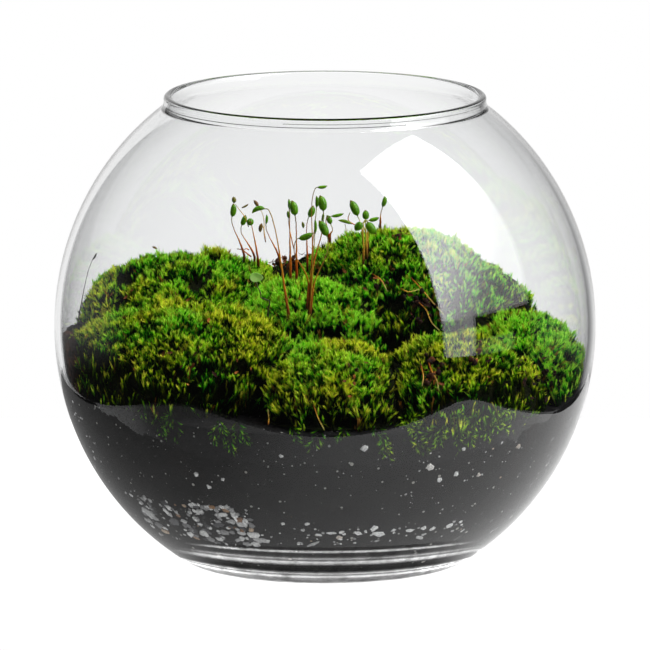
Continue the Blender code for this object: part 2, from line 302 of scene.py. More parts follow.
def newFinish(name, **plain):
    # a Principled material with its plain socket values
    finish = bpy.data.materials.new(name)
    finish.use_nodes = True
    shader = finish.node_tree.nodes["Principled BSDF"]
    t = Tree(finish.node_tree)
    for label, value in {"Metallic": 0.0, **plain}.items():
        t.feed(shader.inputs[label.replace("_", " ")], value)
    return finish, t, shader


def buildMottleGroup():
    # two tones that drift into each other at a size, with a finer grain over them
    group, t, given, out = newGroup(
        "mottle",
        [("Place", "Vector", (0, 0, 0)), ("Size", "Float", 100.0), ("Dark", "Color", (0, 0, 0, 1)),
         ("Light", "Color", (1, 1, 1, 1)), ("Grain", "Float", 0.3)],
        [("Color", "Color"), ("Mask", "Float")],
    )
    broad = t.noise(given["Place"], given["Size"], 4, 0.5)
    fine = t.noise(given["Place"], t.times(given["Size"], 6.0), 3, 0.5)
    spread = t.math("MULTIPLY_ADD", broad, 2.6, -0.8)
    grain = t.times(t.math("SUBTRACT", fine, 0.5), given["Grain"])
    mask = t.math("ADD", spread, t.times(grain, 2.0), clamp=True)
    t.join(mask, out["Mask"])
    t.join(t.mix(mask, given["Dark"], given["Light"]), out["Color"])
    return group


def buildSpeckGroup():
    # scattered round specks: one in each cell that the share lets through
    group, t, given, out = newGroup(
        "specks",
        [("Place", "Vector", (0, 0, 0)), ("Size", "Float", 400.0), ("Reach", "Float", 0.2),
         ("Share", "Float", 0.1)],
        [("Mask", "Float")],
    )
    cells = t.add("ShaderNodeTexVoronoi", feature="F1")
    t.join(given["Place"], cells.inputs["Vector"])
    t.join(given["Size"], cells.inputs["Scale"])
    pick = t.add("ShaderNodeSeparateColor")
    t.join(cells.outputs["Color"], pick.inputs[0])
    chosen = t.under(pick.outputs[0], given["Share"])
    reach = t.times(given["Reach"], t.math("MULTIPLY_ADD", pick.outputs[1], 0.8, 0.4))
    near = t.under(cells.outputs["Distance"], reach)
    t.join(t.times(chosen, near), out["Mask"])
    return group


mottle = buildMottleGroup()
specks = buildSpeckGroup()
print("shader groups made")


view = {
    "aim": (0.0, 0.0, 67.0 * mm),
    "elevation": 9.4,
    "distance": 6.0,
    "lens": 1200.0,
}


def buildCamera():
    camera = addObject("studio_camera", bpy.data.cameras.new("studio_camera"))
    tilt = math.radians(view["elevation"])
    camera.location = Vector(view["aim"]) + Vector((0, -math.cos(tilt), math.sin(tilt))) * view["distance"]
    camera.rotation_euler = (math.pi / 2 - tilt, 0, 0)
    camera.data.lens = view["lens"]
    camera.data.sensor_width = 36.0
    camera.data.clip_end = 20.0
    scene.camera = camera


buildCamera()
print("camera placed")


glass = {
    "tint": (0.992, 0.997, 1.0),
    "shadeTint": (0.93, 0.94, 0.945),       # what passes where light falls through
    # the dark glass of the painted shade rings on the lip
    "paintedShadeTint": (0.02, 0.021, 0.021),
    "ior": 1.5,
}


def roundProfile(centreR, centreZ, halfR, halfZ, start, end, steps, crowd=1.0):
    # crowd above 1 packs the points towards the start
    angles = np.radians(start + (end - start) * np.linspace(0, 1, steps + 1) ** crowd)
    return np.stack([centreR + halfR * np.cos(angles), centreZ + halfZ * np.sin(angles)], axis=1)


def smoothProfile(points, rounds):
    # softens the corners of an open outline without moving its ends
    for _ in range(rounds):
        inner = (points[:-2] + 2 * points[1:-1] + points[2:]) / 4
        points = np.concatenate([points[:1], inner, points[-1:]])
    return points


def spun(profile, segments):
    # a closed body turned about Z; both ends of the profile are on the axis
    angles = np.arange(segments) * 2 * math.pi / segments
    ring = profile[1:-1]
    x = ring[:, 0, None] * np.cos(angles)
    y = ring[:, 0, None] * np.sin(angles)
    z = np.broadcast_to(ring[:, 1, None], x.shape)
    points = np.stack([x, y, z], axis=-1).reshape(-1, 3)
    points = np.concatenate([points, [[0, 0, profile[0, 1]], [0, 0, profile[-1, 1]]]])
    quads = ringFaces(len(ring), segments, (0, 2, 3, 1))
    first, last = len(points) - 2, len(points) - 1
    end = (len(ring) - 1) * segments
    j = np.arange(segments)
    k = (j + 1) % segments
    caps = np.concatenate([
        np.stack([np.full(segments, first), j, k], axis=1),
        np.stack([np.full(segments, last), end + k, end + j], axis=1),
    ])
    return points, quads, caps


def buildGlassFinish(name, tint):
    finish, t, shader = newFinish(name, Base_Color=tint, Roughness=0.0, Metallic=0.0,
                                  IOR=glass["ior"], Transmission_Weight=1.0)
    out = t.tree.nodes["Material Output"]
    see = t.add("ShaderNodeBsdfTransparent")
    see.inputs["Color"].default_value = (*glass["shadeTint"], 1)
    path = t.add("ShaderNodeLightPath")
    either = t.most(path.outputs["Is Shadow Ray"], path.outputs["Is Diffuse Ray"])
    swap = t.add("ShaderNodeMixShader")
    t.join(either, swap.inputs[0])
    t.join(shader.outputs[0], swap.inputs[1])
    t.join(see.outputs[0], swap.inputs[2])
    t.join(swap.outputs[0], out.inputs["Surface"])
    return finish


def cutAcross(profile, heights):
    # adds points to the outline where its outer side passes each height
    points = [profile[0]]
    for a, b in zip(profile[:-1], profile[1:]):
        if min(a[0], b[0]) > bowl["lipRadius"]:
            low, high = sorted([a[1], b[1]])
            shares = sorted((height - a[1]) / (b[1] - a[1]) for height in heights if low < height < high)
            points += [a + (b - a) * share for share in shares]
        points.append(b)
    return np.array(points)


def buildBowl():
    # the outline runs from the middle of the inner floor up, over the lip and down to the middle of the foot
    floor, fillet, middle, steps = bowl["baseThickness"], bowl["floorFillet"], bowl["middle"], bowl["steps"]
    filletZ = floor + fillet * np.linspace(0, 1, steps["fillet"]) ** 2
    turn = np.stack([insideRadius(filletZ), filletZ], axis=1)
    floorR = np.linspace(0, 1, steps["floor"])[:-1, None] * turn[:1] * [1, 0] + [0, floor]
    reach = bowl["radius"] - bowl["wall"]

    def angleAt(height, half):
        return math.degrees(math.asin((height - middle) / half))

    down, up, outside = bowl["insideHalfDown"], bowl["insideHalfUp"], bowl["halfHeight"]
    bottomAngle, topAngle = angleAt(floor + fillet, down), angleAt(bowl["neckHeight"], up)
    below = roundProfile(0, middle, reach, down, bottomAngle, 0, steps["below"])[1:]
    above = roundProfile(0, middle, reach, up, topAngle, 0, steps["above"], bowl["crowd"])[::-1][1:]
    bead = roundProfile(bowl["lipRadius"], bowl["lipHeight"], bowl["lipBead"], bowl["lipBead"],
                        *bowl["beadAngles"], steps["bead"])
    neckAngle, heelAngle = angleAt(bowl["neckHeight"], outside), angleAt(bowl["heelHeight"], outside)
    body = roundProfile(0, middle, bowl["radius"], outside, neckAngle, 0, steps["above"], bowl["crowd"])
    lower = roundProfile(0, middle, bowl["radius"], outside, 0, heelAngle, steps["lower"])[1:]
    inward, upward = bowl["heel"]
    knee = np.array([lower[-1, 0] * (1 - inward) + bowl["footRadius"] * inward, bowl["heelHeight"] * upward])
    foot = np.array([bowl["footRadius"], 0.0])
    t = np.linspace(0, 1, steps["heel"])[1:, None]
    heel = (1 - t) ** 2 * lower[-1] + 2 * t * (1 - t) * knee + t**2 * foot
    flat = np.linspace(1, 0, steps["foot"])[1:, None] * foot
    profile = smoothProfile(np.concatenate([floorR, turn, below, above, bead, body, lower, heel, flat]), 2)
    profile[0, 0] = profile[-1, 0] = 0.0
    profile = cutAcross(profile, [height for ring in bowl["paintedShadeRings"] for height in ring[:2]])
    points, quads, caps = spun(profile, bowl["segments"])
    mesh = smoothMesh("blown_bowl", points, quads.tolist() + caps.tolist())
    mesh.update()
    finish = buildGlassFinish("clear_glass", glass["tint"])
    addPiece("blown_bowl", mesh, ["glass_bowl"], finish)
    mesh.materials.append(buildGlassFinish("lip_painted_shade", glass["paintedShadeTint"]))
    # faces inside the painted shade rings take the dark glass
    for face in mesh.polygons:
        x, y, z = face.center
        if math.hypot(x, y) > bowl["lipRadius"]:
            for number, (low, high, left, right) in enumerate(bowl["paintedShadeRings"]):
                if low < z < high and left < x < right and (number == 0 or y < 0):
                    face.material_index = 1
    turnFacesOut(mesh)


buildBowl()
print("bowl blown")


soil = {
    "gap": 0.35 * mm,
    "around": 480,
    "upSide": 84,
    "crowd": 0.8,                   # how much closer the side's rings are near the top
    "inward": 44,
    "rim": (50 * mm, 1.2 * mm),     # height where the search for the rim starts, and how far in it looks
    "crumbSize": 900,
    "coarseSize": 260,
    "grain": 0.55 * mm,
    "hollows": (1.4, 0.9, 1.05),    # weight of crumbs and coarse lumps, and what they must pass
    "topGrain": (1.0, 0.8, 1.1),
    "contact": 0.05 * mm,
    # the dry band's height at the sides and in front, the gap it leaves, its ragged edge, and where front is
    "dryBand": (0.4 * mm, 8.5 * mm),
    "dryGap": 0.09 * mm,
    "dryEdge": 1.5 * mm,
    "ragged": (2 * mm, 1 * mm),
    "front": (30 * mm, 60 * mm),
    "scrape": 0.9 * mm,
    "scrapeEdge": 5 * mm,
    # pale points in its colour: how many to a metre, reach, share and colour
    "palePoints": [(900.0, 0.30, 0.05, (0.30, 0.30, 0.28)), (420.0, 0.22, 0.06, (0.34, 0.33, 0.30))],
}


def buildSoilFinish():
    finish, t, shader = newFinish("black_potting_soil", Roughness=0.95, Specular_IOR_Level=0.15)
    place = t.place()
    earth = t.use(mottle, "Color", Place=place, Size=180.0, Grain=0.9,
                  Dark=(0.0012, 0.0012, 0.0013), Light=(0.0065, 0.006, 0.006))
    brown = t.stretch(t.noise(place, 60.0, 4.0), 3.0, -1.65)
    earth = t.mix(brown, earth, (0.012, 0.007, 0.005))
    for size, reach, share, pale in soil["palePoints"]:
        earth = t.mix(t.use(specks, "Mask", Place=place, Size=size, Reach=reach, Share=share), earth, pale)
    t.join(earth, shader.inputs["Base Color"])
    t.join(t.bump(t.noise(place, 1400.0, 4.0, 0.7), 0.9, 0.6 * mm), shader.inputs["Normal"])
    return finish


def buildSoil():
    # a side that follows the glass and a top that follows the ground, both crumbly
    top = treeOf(["soil_bed"])
    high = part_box("soil_bed")[1]
    angles = np.arange(soil["around"]) * 2 * math.pi / soil["around"]
    bottom = bowl["baseThickness"] - soil["contact"]

    def groundAt(x, y, otherwise):
        hit = top.ray_cast(Vector((x, y, high.z + 0.01)), Vector((0, 0, -1)))[0]
        return otherwise if hit is None else hit.z

    rims = []
    for angle in angles:
        z = soil["rim"][0]
        for _ in range(6):      # where this side's ground meets the glass
            r = float(insideRadius(z)) - soil["rim"][1]
            z = groundAt(r * math.cos(angle), r * math.sin(angle), z)
        rims.append(z)
    rims = np.array(rims)
    around = len(angles)
    points = []
    for i in range(soil["upSide"]):
        share = (i / (soil["upSide"] - 1)) ** soil["crowd"]
        z = bottom + (rims - bottom) * share
        r = insideRadius(z)
        points.append(np.stack([r * np.cos(angles), r * np.sin(angles), z], axis=1))
    for i in range(1, soil["inward"]):
        share = 1 - i / soil["inward"]
        r = (insideRadius(rims) - soil["gap"]) * share
        x, y = r * np.cos(angles), r * np.sin(angles)
        points.append(np.stack([x, y, [groundAt(*spot) for spot in zip(x, y, rims)]], axis=1))
    rings = len(points)
    points = np.concatenate(points)
    crumbs = np.array([noise.fractal(Vector(p) * soil["crumbSize"], 0.6, 2.0, 4) for p in points])
    coarse = np.array([noise.noise(Vector(p) * soil["coarseSize"]) for p in points])
    across = np.linalg.norm(points[:, :2], axis=1, keepdims=True)
    outward = np.concatenate([points[:, :2] / np.maximum(across, 1e-9), np.zeros((len(points), 1))], axis=1)
    side = np.arange(len(points)) < soil["upSide"] * around
    # pressed wet against the glass, with a few small hollows, dry and clear of it in a ragged band under the
    # ground's edge, and scraped back in front under the trailing sprigs
    crumbShare, coarseShare, passed = soil["hollows"]
    hollows = np.clip(crumbShare * crumbs + coarseShare * coarse - passed, 0, 1)
    depth = soil["grain"] * hollows - soil["contact"]
    near, nearest = soil["front"]
    front = np.clip((-points[:, 1] - near) / (nearest - near), 0, 1)
    sideBand, frontBand = soil["dryBand"]
    rise = points[:, 2] - np.tile(rims, rings) + sideBand + (frontBand - sideBand) * front
    rise -= soil["ragged"][0] * coarse + soil["ragged"][1] * crumbs
    depth += soil["dryGap"] * np.clip(rise / soil["dryEdge"], 0, 1)
    depth += soil["scrape"] * front * np.clip(rise / soil["scrapeEdge"], 0, 1)
    points[side] -= (outward * depth[:, None])[side]
    crumbShare, coarseShare, height = soil["topGrain"]
    points[~side, 2] += (soil["grain"] * (crumbShare * crumbs + coarseShare * coarse))[~side] * height
    quads = ringFaces(rings, around)
    centreTop, centreBottom = len(points), len(points) + 1
    points = np.concatenate([points, [[0, 0, groundAt(0, 0, bottom)], [0, 0, bottom]]])
    last = (rings - 1) * around
    pairs = [(j, (j + 1) % around) for j in range(around)]
    caps = [[centreTop, last + a, last + b] for a, b in pairs] + [[centreBottom, b, a] for a, b in pairs]
    mesh = smoothMesh("potting_soil", points, quads.tolist() + caps)
    addPiece("potting_soil", mesh, ["soil_bed"], buildSoilFinish())


buildSoil()
print("soil filled")


grit = {
    "clear": -0.30 * mm,        # how far past the inner wall a crumb may sit
    "poke": 0.14 * mm,
    "turn": 0.40,
    "lumps": (0.65, 2.0),
    "seed": 21,
    "palest": 0.80,
    "warm": (0.06, 0.8),        # share of warm crumbs in the heaps, and how warm they are
    "specks": 1500,
    "speckSize": (0.05 * mm, 0.15 * mm),
    "speckKinds": ([0.7, 1.0, 1.5], [0.6, 0.33, 0.07]),
    "speckHeights": (9, 46, 0.8),
    "speckTone": (0.15, 0.75),
    "speckWarm": 0.05,
    "speckFine": (-100, -52, 0.45),     # degrees from and to, and how much smaller they are there
    # lone crumbs against the glass: degrees from the front, height, width and tallness in mm, tone, warmth
    "placed": [
        (13.6, 20.2, 2.4, 1.8, 0.94, 0.0), (15.4, 18.5, 3.4, 2.1, 0.89, 0.0),
        (9.3, 18.9, 2.4, 1.4, 0.89, 0.0), (4.6, 19.3, 1.6, 1.1, 0.83, 0.0), (1.8, 19.1, 2.6, 1.1, 0.73, 0.0),
        (-1.8, 18.5, 1.8, 1.0, 0.78, 0.0), (4.1, 17.6, 1.8, 1.7, 0.71, 0.45),
        (19.4, 19.4, 1.3, 1.3, 0.71, 0.0), (24.4, 19.0, 2.4, 1.3, 0.73, 0.0),
        (28.6, 19.4, 1.6, 1.4, 0.78, 0.0), (31.6, 18.9, 1.9, 1.4, 0.76, 0.0),
        (37.2, 19.3, 2.4, 1.7, 0.92, 0.0), (40.6, 20.1, 1.2, 1.1, 0.83, 0.0),
        (28.8, 16.4, 2.8, 1.3, 0.61, 0.0), (-3.6, 15.5, 3.8, 1.1, 0.50, 0.0),
        (-7.8, 15.8, 1.4, 0.8, 0.50, 0.0), (-19.4, 16.3, 4.3, 2.4, 0.53, 0.0),
        (-26.6, 15.8, 2.3, 1.3, 0.47, 0.0), (-11.4, 21.8, 1.1, 1.1, 0.76, 0.0),
        (-4.8, 21.9, 1.4, 1.1, 0.78, 0.0), (-30.6, 25.6, 2.3, 1.7, 0.47, 1.0),
        (-26.6, 25.2, 2.3, 2.1, 0.50, 0.9), (-24.0, 18.7, 1.3, 2.4, 0.40, 0.9),
        (-28.3, 23.5, 4.3, 1.7, 0.73, 0.0), (-24.6, 23.3, 1.8, 4.2, 0.85, 0.0),
        (-35.0, 23.8, 3.4, 2.0, 0.65, 0.0), (-22.0, 21.9, 1.7, 2.7, 0.78, 0.0),
        (-46.6, 16.4, 2.6, 1.4, 0.02, 0.0), (-43.0, 17.9, 1.8, 1.3, 0.02, 0.0),
        (-57.0, 20.5, 5.8, 3.6, 0.59, 0.0), (25.1, 38.0, 2.0, 2.7, 1.00, 0.15),
        (28.4, 34.0, 1.6, 1.5, 0.83, 0.0), (32.6, 35.3, 1.4, 1.5, 0.85, 0.0),
        (39.5, 34.2, 1.4, 1.3, 0.73, 0.35), (33.1, 42.4, 1.1, 1.1, 0.71, 0.0),
        (8.9, 44.6, 1.9, 1.8, 0.78, 0.0), (-32.0, 35.3, 1.6, 1.5, 0.94, 0.0),
        (-29.3, 31.8, 1.3, 1.4, 1.00, 0.0), (-25.0, 34.4, 1.0, 1.1, 0.83, 0.0),
        (-10.0, 42.2, 1.1, 1.1, 0.71, 0.0), (50.0, 41.0, 1.6, 1.3, 0.59, 0.5),
    ],
    # loose heaps: degrees from and to, heights from and to, how many crumbs, sizes and darkest tone
    "heaps": [
        (-62, -36, 15.0, 26.0, 90, (0.6, 3.4), 0.10), (-38, -20, 14.0, 26.0, 90, (0.4, 2.8), 0.12),
        (-20, 44, 15.4, 20.8, 60, (0.4, 1.2), 0.40), (18, 52, 24.0, 44.0, 40, (0.3, 0.75), 0.40),
        (-40, 8, 22.0, 40.0, 16, (0.25, 0.55), 0.35),
    ],
}


def atGlass(azimuth, height, depth):
    # a place inside the glass: degrees round from the front, height, and how far in; and its frame
    turn = math.radians(azimuth)
    rise = 0.2 * mm
    slope = float(insideRadius(height + rise) - insideRadius(height - rise)) / (2 * rise)
    outward = unit(np.array([math.sin(turn), -math.cos(turn), -slope]))
    aside = np.array([math.cos(turn), math.sin(turn), 0.0])
    radius = float(insideRadius(height))
    place = np.array([radius * math.sin(turn), -radius * math.cos(turn), height]) - outward * depth
    return place, aside, np.cross(aside, -outward), outward


def buildGritFinish():
    finish, t, shader = newFinish("pale_grit", Roughness=0.9, Specular_IOR_Level=0.1)
    tone, warm = t.layer("tone"), t.layer("warm")
    grey = t.ramp(tone, [(0.0, (0.004, 0.004, 0.005)), (0.25, (0.12, 0.12, 0.125)), (0.8, (1.0, 1.0, 0.98))])
    bark = t.ramp(tone, [(0.0, (0.02, 0.01, 0.005)), (0.4, (0.30, 0.14, 0.05)), (1.0, (0.80, 0.62, 0.40))])
    dust = t.noise(t.place(), 2200.0, 4.0, 0.7)
    shade = t.mix(t.stretch(dust, 2.4, -0.75), (0.35, 0.35, 0.36), (1.1, 1.1, 1.1))
    t.join(t.mix(1.0, t.mix(warm, grey, bark), shade, "MULTIPLY"), shader.inputs["Base Color"])
    t.join(t.bump(dust, 0.5, 0.0002), shader.inputs["Normal"])
    return finish


def unitBall():
    bm = bmesh.new()
    bmesh.ops.create_icosphere(bm, subdivisions=2, radius=1.0)
    points = np.array([v.co for v in bm.verts])
    faces = np.array([[v.index for v in f.verts] for f in bm.faces])
    bm.free()
    return points, faces


ball, ballFaces = unitBall()


class Pile:
    # gathers small shapes and the values of their layers into one mesh
    def __init__(self, *layers):
        self.points, self.faces, self.count = [], [], 0
        self.layers = {layer: [] for layer in layers}

    def add(self, points, faces, **values):
        self.points.append(points)
        self.faces += (np.asarray(faces) + self.count).tolist()
        self.count += len(points)
        for layer, value in values.items():
            self.layers[layer].append(np.full(len(points), value))

    def joined(self):
        layers = {layer: np.concatenate(values) for layer, values in self.layers.items()}
        return np.concatenate(self.points), self.faces, layers


def lumpyBall(amount, size, offset):
    return ball * np.array([1 + amount * noise.noise(Vector(p) * size + offset) for p in ball])[:, None]


def buildGrit():
    rng = np.random.default_rng(grit["seed"])
    rows = list(grit["placed"])
    warmShare, warmth = grit["warm"]
    for fromAngle, toAngle, bottom, top, count, sizes, darkest in grit["heaps"]:
        for _ in range(count):
            size = rng.uniform(*sizes) * rng.uniform(0.5, 1.0)
            azimuth, height = rng.uniform(fromAngle, toAngle), rng.uniform(bottom, top)
            width = size * rng.uniform(0.8, 1.6)
            tone = rng.uniform(darkest, grit["palest"])
            rows.append([azimuth, height, width, size, tone, warmth if rng.uniform() < warmShare else 0.0])
    pile = Pile("tone", "warm")
    for azimuth, height, width, tall, tone, warm in rows:
        place, aside, upward, outward = atGlass(azimuth, height * mm, -soil["contact"])
        turn = grit["turn"] * rng.normal()
        shape = lumpyBall(*grit["lumps"], Vector(rng.uniform(0, 50, 3)))
        right = (aside * math.cos(turn) + upward * math.sin(turn)) * width / 2 * mm
        rise = (upward * math.cos(turn) - aside * math.sin(turn)) * tall / 2 * mm
        blob = shape[:, :1] * right + shape[:, 1:2] * rise + shape[:, 2:] * outward * grit["poke"]
        pile.add(place + blob, ballFaces, tone=tone, warm=warm)
    gem = np.concatenate([np.eye(3), -np.eye(3)])[[0, 3, 1, 4, 2, 5]]
    gemFaces = [[0, 2, 4], [2, 1, 4], [1, 3, 4], [3, 0, 4], [2, 0, 5], [1, 2, 5], [3, 1, 5], [0, 3, 5]]
    kinds, shares = grit["speckKinds"]
    low, high, crowd = grit["speckHeights"]
    fromAngle, toAngle, finer = grit["speckFine"]
    for _ in range(grit["specks"]):
        size = rng.uniform(*grit["speckSize"]) * rng.choice(kinds, p=shares)
        azimuth = rng.uniform(-180, 180)
        size *= finer if fromAngle < azimuth < toAngle else 1.0
        place = atGlass(azimuth, (low + (high - low) * rng.uniform() ** crowd) * mm, -soil["contact"])[0]
        speck = place + gem * size * rng.uniform(0.7, 1.3, 3)
        tone = rng.uniform(*grit["speckTone"])
        pile.add(speck, gemFaces, tone=tone, warm=float(rng.uniform() < grit["speckWarm"]))
    points, faces, layers = pile.joined()
    mesh = triangleMesh("soil_grit", keepInside(points, grit["clear"]), faces, smooth=True, layers=layers)
    addPiece("soil_grit", mesh, finish=buildGritFinish())


buildGrit()
print("grit scattered")


moss = {
    "perSquareMm": 1.40,
    "faceShare": 0.50,
    "leaves": 17,
    "spire": (2.6 * mm, 4.4 * mm),          # how long shoots are on top
    "strand": (4.2 * mm, 7.5 * mm),         # and on steep sides
    "leaf": (0.9 * mm, 1.9 * mm),
    "leafWidth": (0.26 * mm, 0.46 * mm),
    "leafTurn": 2.39996,            # radians from one leaf to the next, as leaves grow
    "leafSpan": (0.16, 0.96),       # the part of the stem that has leaves
    "leafLean": (50, 34, 9),        # degrees off the stem at its foot, less towards the tip, and spread
    "stemBend": 0.40,
    "glassGap": 0.45 * mm,
    "nearGlass": 0.9 * mm,
    "touching": 1.5 * mm,           # nearer than this to a neighbour, a cushion is bare
    "skin": 0.02 * mm,
    "underside": -0.55,             # no shoots where the surface faces further down than this
    # the dark bed under the shoots, its near-black colour painted shade in the gaps between them: how deep it
    # lies, at a joint and in the open, its share near the glass, and the size and height of its lumps and
    # hollows
    "bedJoint": 0.3 * mm,
    "bedInset": 3.0 * mm,
    "bedAtGlass": (0.8 * mm, 0.45),
    "bedLumps": (900, 0.4 * mm),
    "bedHollows": 3.0 * mm,
    "sink": 1.2 * mm,
    "outward": (0.70, -0.35),       # how much shoots point out of the cushion, and the change on steep sides
    "upward": (0.55, 0.45),         # the same for up
    "scatter": (0.30, 0.45),        # how much their ways differ, and the share that steep sides lose
    "bald": (-0.30, 0.25),          # hollows deeper than this have no shoots, and how ragged that edge is
    "streaks": (0.22, 0.12, -0.08), # gaps down steep sides: how drawn out, their shift, and where they start
    "stray": (0.05, 0.9 * mm),      # share of shoots that stand out, and how far
    "wellRadius": 0.75 * mm,
    "lump": 2.4 * mm,
    "seed": 5,
    # slow changes over the cushions: how many to a metre, and where each one starts
    "patches": {
        "hollow": (170, (2, 6, 4)), "smallHollow": (420, (8, 3, 1)), "streak": (520, (4, 4, 9)),
        "lump": (150, (3, 1, 7)), "smallLump": (380, (9, 2, 4)), "yellow": (75, (5, 8, 2)),
    },
    # how yellow each cushion's green is, from 0 to 1, how bright, and how many mm deeper its shoots sit
    "tone": {
        "moss_front_left": (0.64, 0.93, 0.0), "moss_front_middle": (0.70, 1.06, 0.0),
        "moss_front_right": (0.62, 0.92, 0.0), "moss_left": (0.00, 1.00, 1.5),
        "moss_middle": (-0.65, 1.36, 0.0), "moss_right": (-0.35, 1.20, 1.5),
        "moss_back_left": (0.14, 1.02, 4.2), "moss_back_middle": (-0.05, 0.98, 1.4),
        "moss_back_right": (-0.10, 1.00, 1.6),
    },
    # how much yellow drifts over a cushion, grows on its lumps, and differs from shoot to shoot
    "yellowness": (1.5, 0.4, 0.18),
    # painted light and shade on the shoots: how light they are, how much they differ, and what lumps add as
    # painted light and steep sides add as painted shade
    "light": (1.02, 0.27, 0.46, -0.22),
    # colours from the foot of a shoot to its lit tip: a fresher green towards the tip, with painted shade
    # that darkens the foot to near black and painted light that brightens the tip
    "fresh": [(0.0, (0.001, 0.002, 0.0002)), (0.48, (0.010, 0.024, 0.0004)), (0.70, (0.110, 0.240, 0.001)),
              (0.85, (0.640, 0.980, 0.006)), (0.94, (1.000, 1.000, 0.080))],
    "deep": [(0.0, (0.0005, 0.002, 0.0002)), (0.48, (0.002, 0.024, 0.0004)), (0.70, (0.020, 0.220, 0.001)),
             (0.85, (0.150, 0.960, 0.006)), (0.94, (0.560, 1.000, 0.080))],
    "olive": [(0.0, (0.006, 0.005, 0.0005)), (0.45, (0.045, 0.045, 0.001)), (0.75, (0.220, 0.230, 0.004)),
              (1.0, (0.680, 0.660, 0.060))],
    "straw": [(0.0, (0.030, 0.010, 0.003)), (0.5, (0.200, 0.085, 0.015)), (1.0, (0.500, 0.260, 0.050))],
    "strawFrom": 0.985,
}


def buildMossFinish():
    finish, t, shader = newFinish("moss_leaves", Roughness=0.6, Specular_IOR_Level=0.0)
    ageAndLight, chance, patch = t.layer("ageAndLight"), t.layer("chance"), t.layer("patch")
    fresh, deep, olive, straw = [t.ramp(ageAndLight, moss[name]) for name in ("fresh", "deep", "olive", "straw")]
    green = t.mix(patch, deep, fresh)
    faded = t.mix(t.stretch(chance, 6.0, -4.8), green, olive)
    leaf = t.mix(t.over(chance, moss["strawFrom"]), faded, straw)
    t.join(leaf, shader.inputs["Base Color"])
    return finish


def buildBedShadeFinish():
    finish, t, shader = newFinish("moss_bed", Roughness=0.95, Specular_IOR_Level=0.1)
    place = t.place()
    # near black: painted shade where the gaps between shoots look into the cushion
    shade = t.use(mottle, "Color", Place=place, Size=300.0, Grain=0.8,
                  Dark=(0.002, 0.003, 0.001), Light=(0.012, 0.016, 0.002))
    t.join(shade, shader.inputs["Base Color"])
    t.join(t.bump(t.noise(place, 900.0, 4.0, 0.7), 0.9, 1.0 * mm), shader.inputs["Normal"])
    return finish


def growShoots(rng, bases, directions, lengths, leafCount, leafScale=1.0, openness=1.0, slim=1.0):
    # spiky shoots: thin leaves stand round a bent stem and close up towards its tip
    count = len(bases)
    directions = unit(directions)
    aside = unit(np.cross(directions, unit(rng.normal(size=(count, 3)))))
    across = np.cross(directions, aside)
    bend = unit(directions + moss["stemBend"] * rng.normal(size=(count, 3)) * [1, 1, 0.4] + [0, 0, 0.15])
    j = np.arange(leafCount)
    lowest, highest = moss["leafSpan"]
    t = lowest + (highest - lowest) * (j / (leafCount - 1)) ** 0.8
    t = t + 0.02 * rng.normal(size=(count, leafCount))
    turn = j[None, :] * moss["leafTurn"] + rng.uniform(0, 6.28, (count, 1))
    turn = turn + 0.35 * rng.normal(size=(count, leafCount))
    tt = t[..., None]
    stem = lengths[:, None, None] * (directions[:, None] * (tt - 0.5 * tt**2) + bend[:, None] * 0.5 * tt**2)
    along = unit(directions[:, None] * (1 - tt) + bend[:, None] * tt)
    out = aside[:, None] * np.cos(turn)[..., None] + across[:, None] * np.sin(turn)[..., None]
    wide, closing, spread = moss["leafLean"]
    lean = wide - closing * np.clip(t, 0, 1) ** 1.5 + spread * rng.normal(size=t.shape)
    lean = np.radians(openness * lean)[..., None]
    leafDirection = unit(along * np.cos(lean) + out * np.sin(lean))
    beside = unit(np.cross(leafDirection, along + 1e-6))
    size = (0.6 + 0.5 * np.sin(math.pi * np.clip(t, 0, 1) ** 0.9)) * rng.uniform(0.75, 1.3, t.shape)
    leafLength = (rng.uniform(*moss["leaf"], (count, 1)) * size)[..., None] * leafScale
    leafWidth = (rng.uniform(*moss["leafWidth"], (count, 1)) * (0.7 + 0.3 * size))[..., None]
    half = beside * (leafWidth * leafScale * slim) / 2
    foot = bases[:, None] + stem
    tip = foot + leafDirection * leafLength + along * leafLength * 0.25
    points = np.stack([foot - half, foot + half, tip], axis=2).reshape(-1, 3)
    faces = np.arange(len(points)).reshape(-1, 3)
    # how far up its shoot each corner is, which the colours turn into fresh growth, painted shade at the foot
    # and painted light at the tip
    ageAndLight = np.stack([t - 0.05, t - 0.05, t + 0.10], axis=2)
    return points, faces, ageAndLight


def exposedSamples(rng, name, others, perSquareMm):
    # random points on a cushion's outside, away from the faces that touch its neighbours
    mesh = nodes[name].data
    mesh.calc_loop_triangles()
    triangles = nodePoints(name)[np.array([t.vertices for t in mesh.loop_triangles])]
    cross = np.cross(triangles[:, 1] - triangles[:, 0], triangles[:, 2] - triangles[:, 0])
    area = np.linalg.norm(cross, axis=1) / 2
    normals = unit(cross)
    count = int(area.sum() / mm**2 * perSquareMm)
    chosen = rng.choice(len(area), count, p=area / area.sum())
    a, b = rng.uniform(size=(2, count))
    flip = a + b > 1
    a[flip], b[flip] = 1 - a[flip], 1 - b[flip]
    tri = triangles[chosen]
    points = tri[:, 0] + a[:, None] * (tri[:, 1] - tri[:, 0]) + b[:, None] * (tri[:, 2] - tri[:, 0])
    normal = normals[chosen]
    keep = []
    for p, n in zip(points, normal):
        hit = others.ray_cast(Vector(p + n * moss["skin"]), Vector(n), moss["touching"])
        keep.append(hit[0] is None and n[2] > moss["underside"])
    keep = np.array(keep)
    return points[keep], normal[keep]


def patchTone(points, name):
    scale, offset = moss["patches"][name]
    return np.array([noise.noise(Vector(p) * scale + Vector(offset)) for p in points])


def rootPlaces():
    # where each stalk stands on the ground plan
    places = []
    for name in nodes:
        if name.startswith("seta_") or name == "seedling_stem":
            points = nodePoints(name)
            places.append(points[points[:, 2] < points[:, 2].min() + 0.5 * mm].mean(0)[:2])
    return np.array(places)


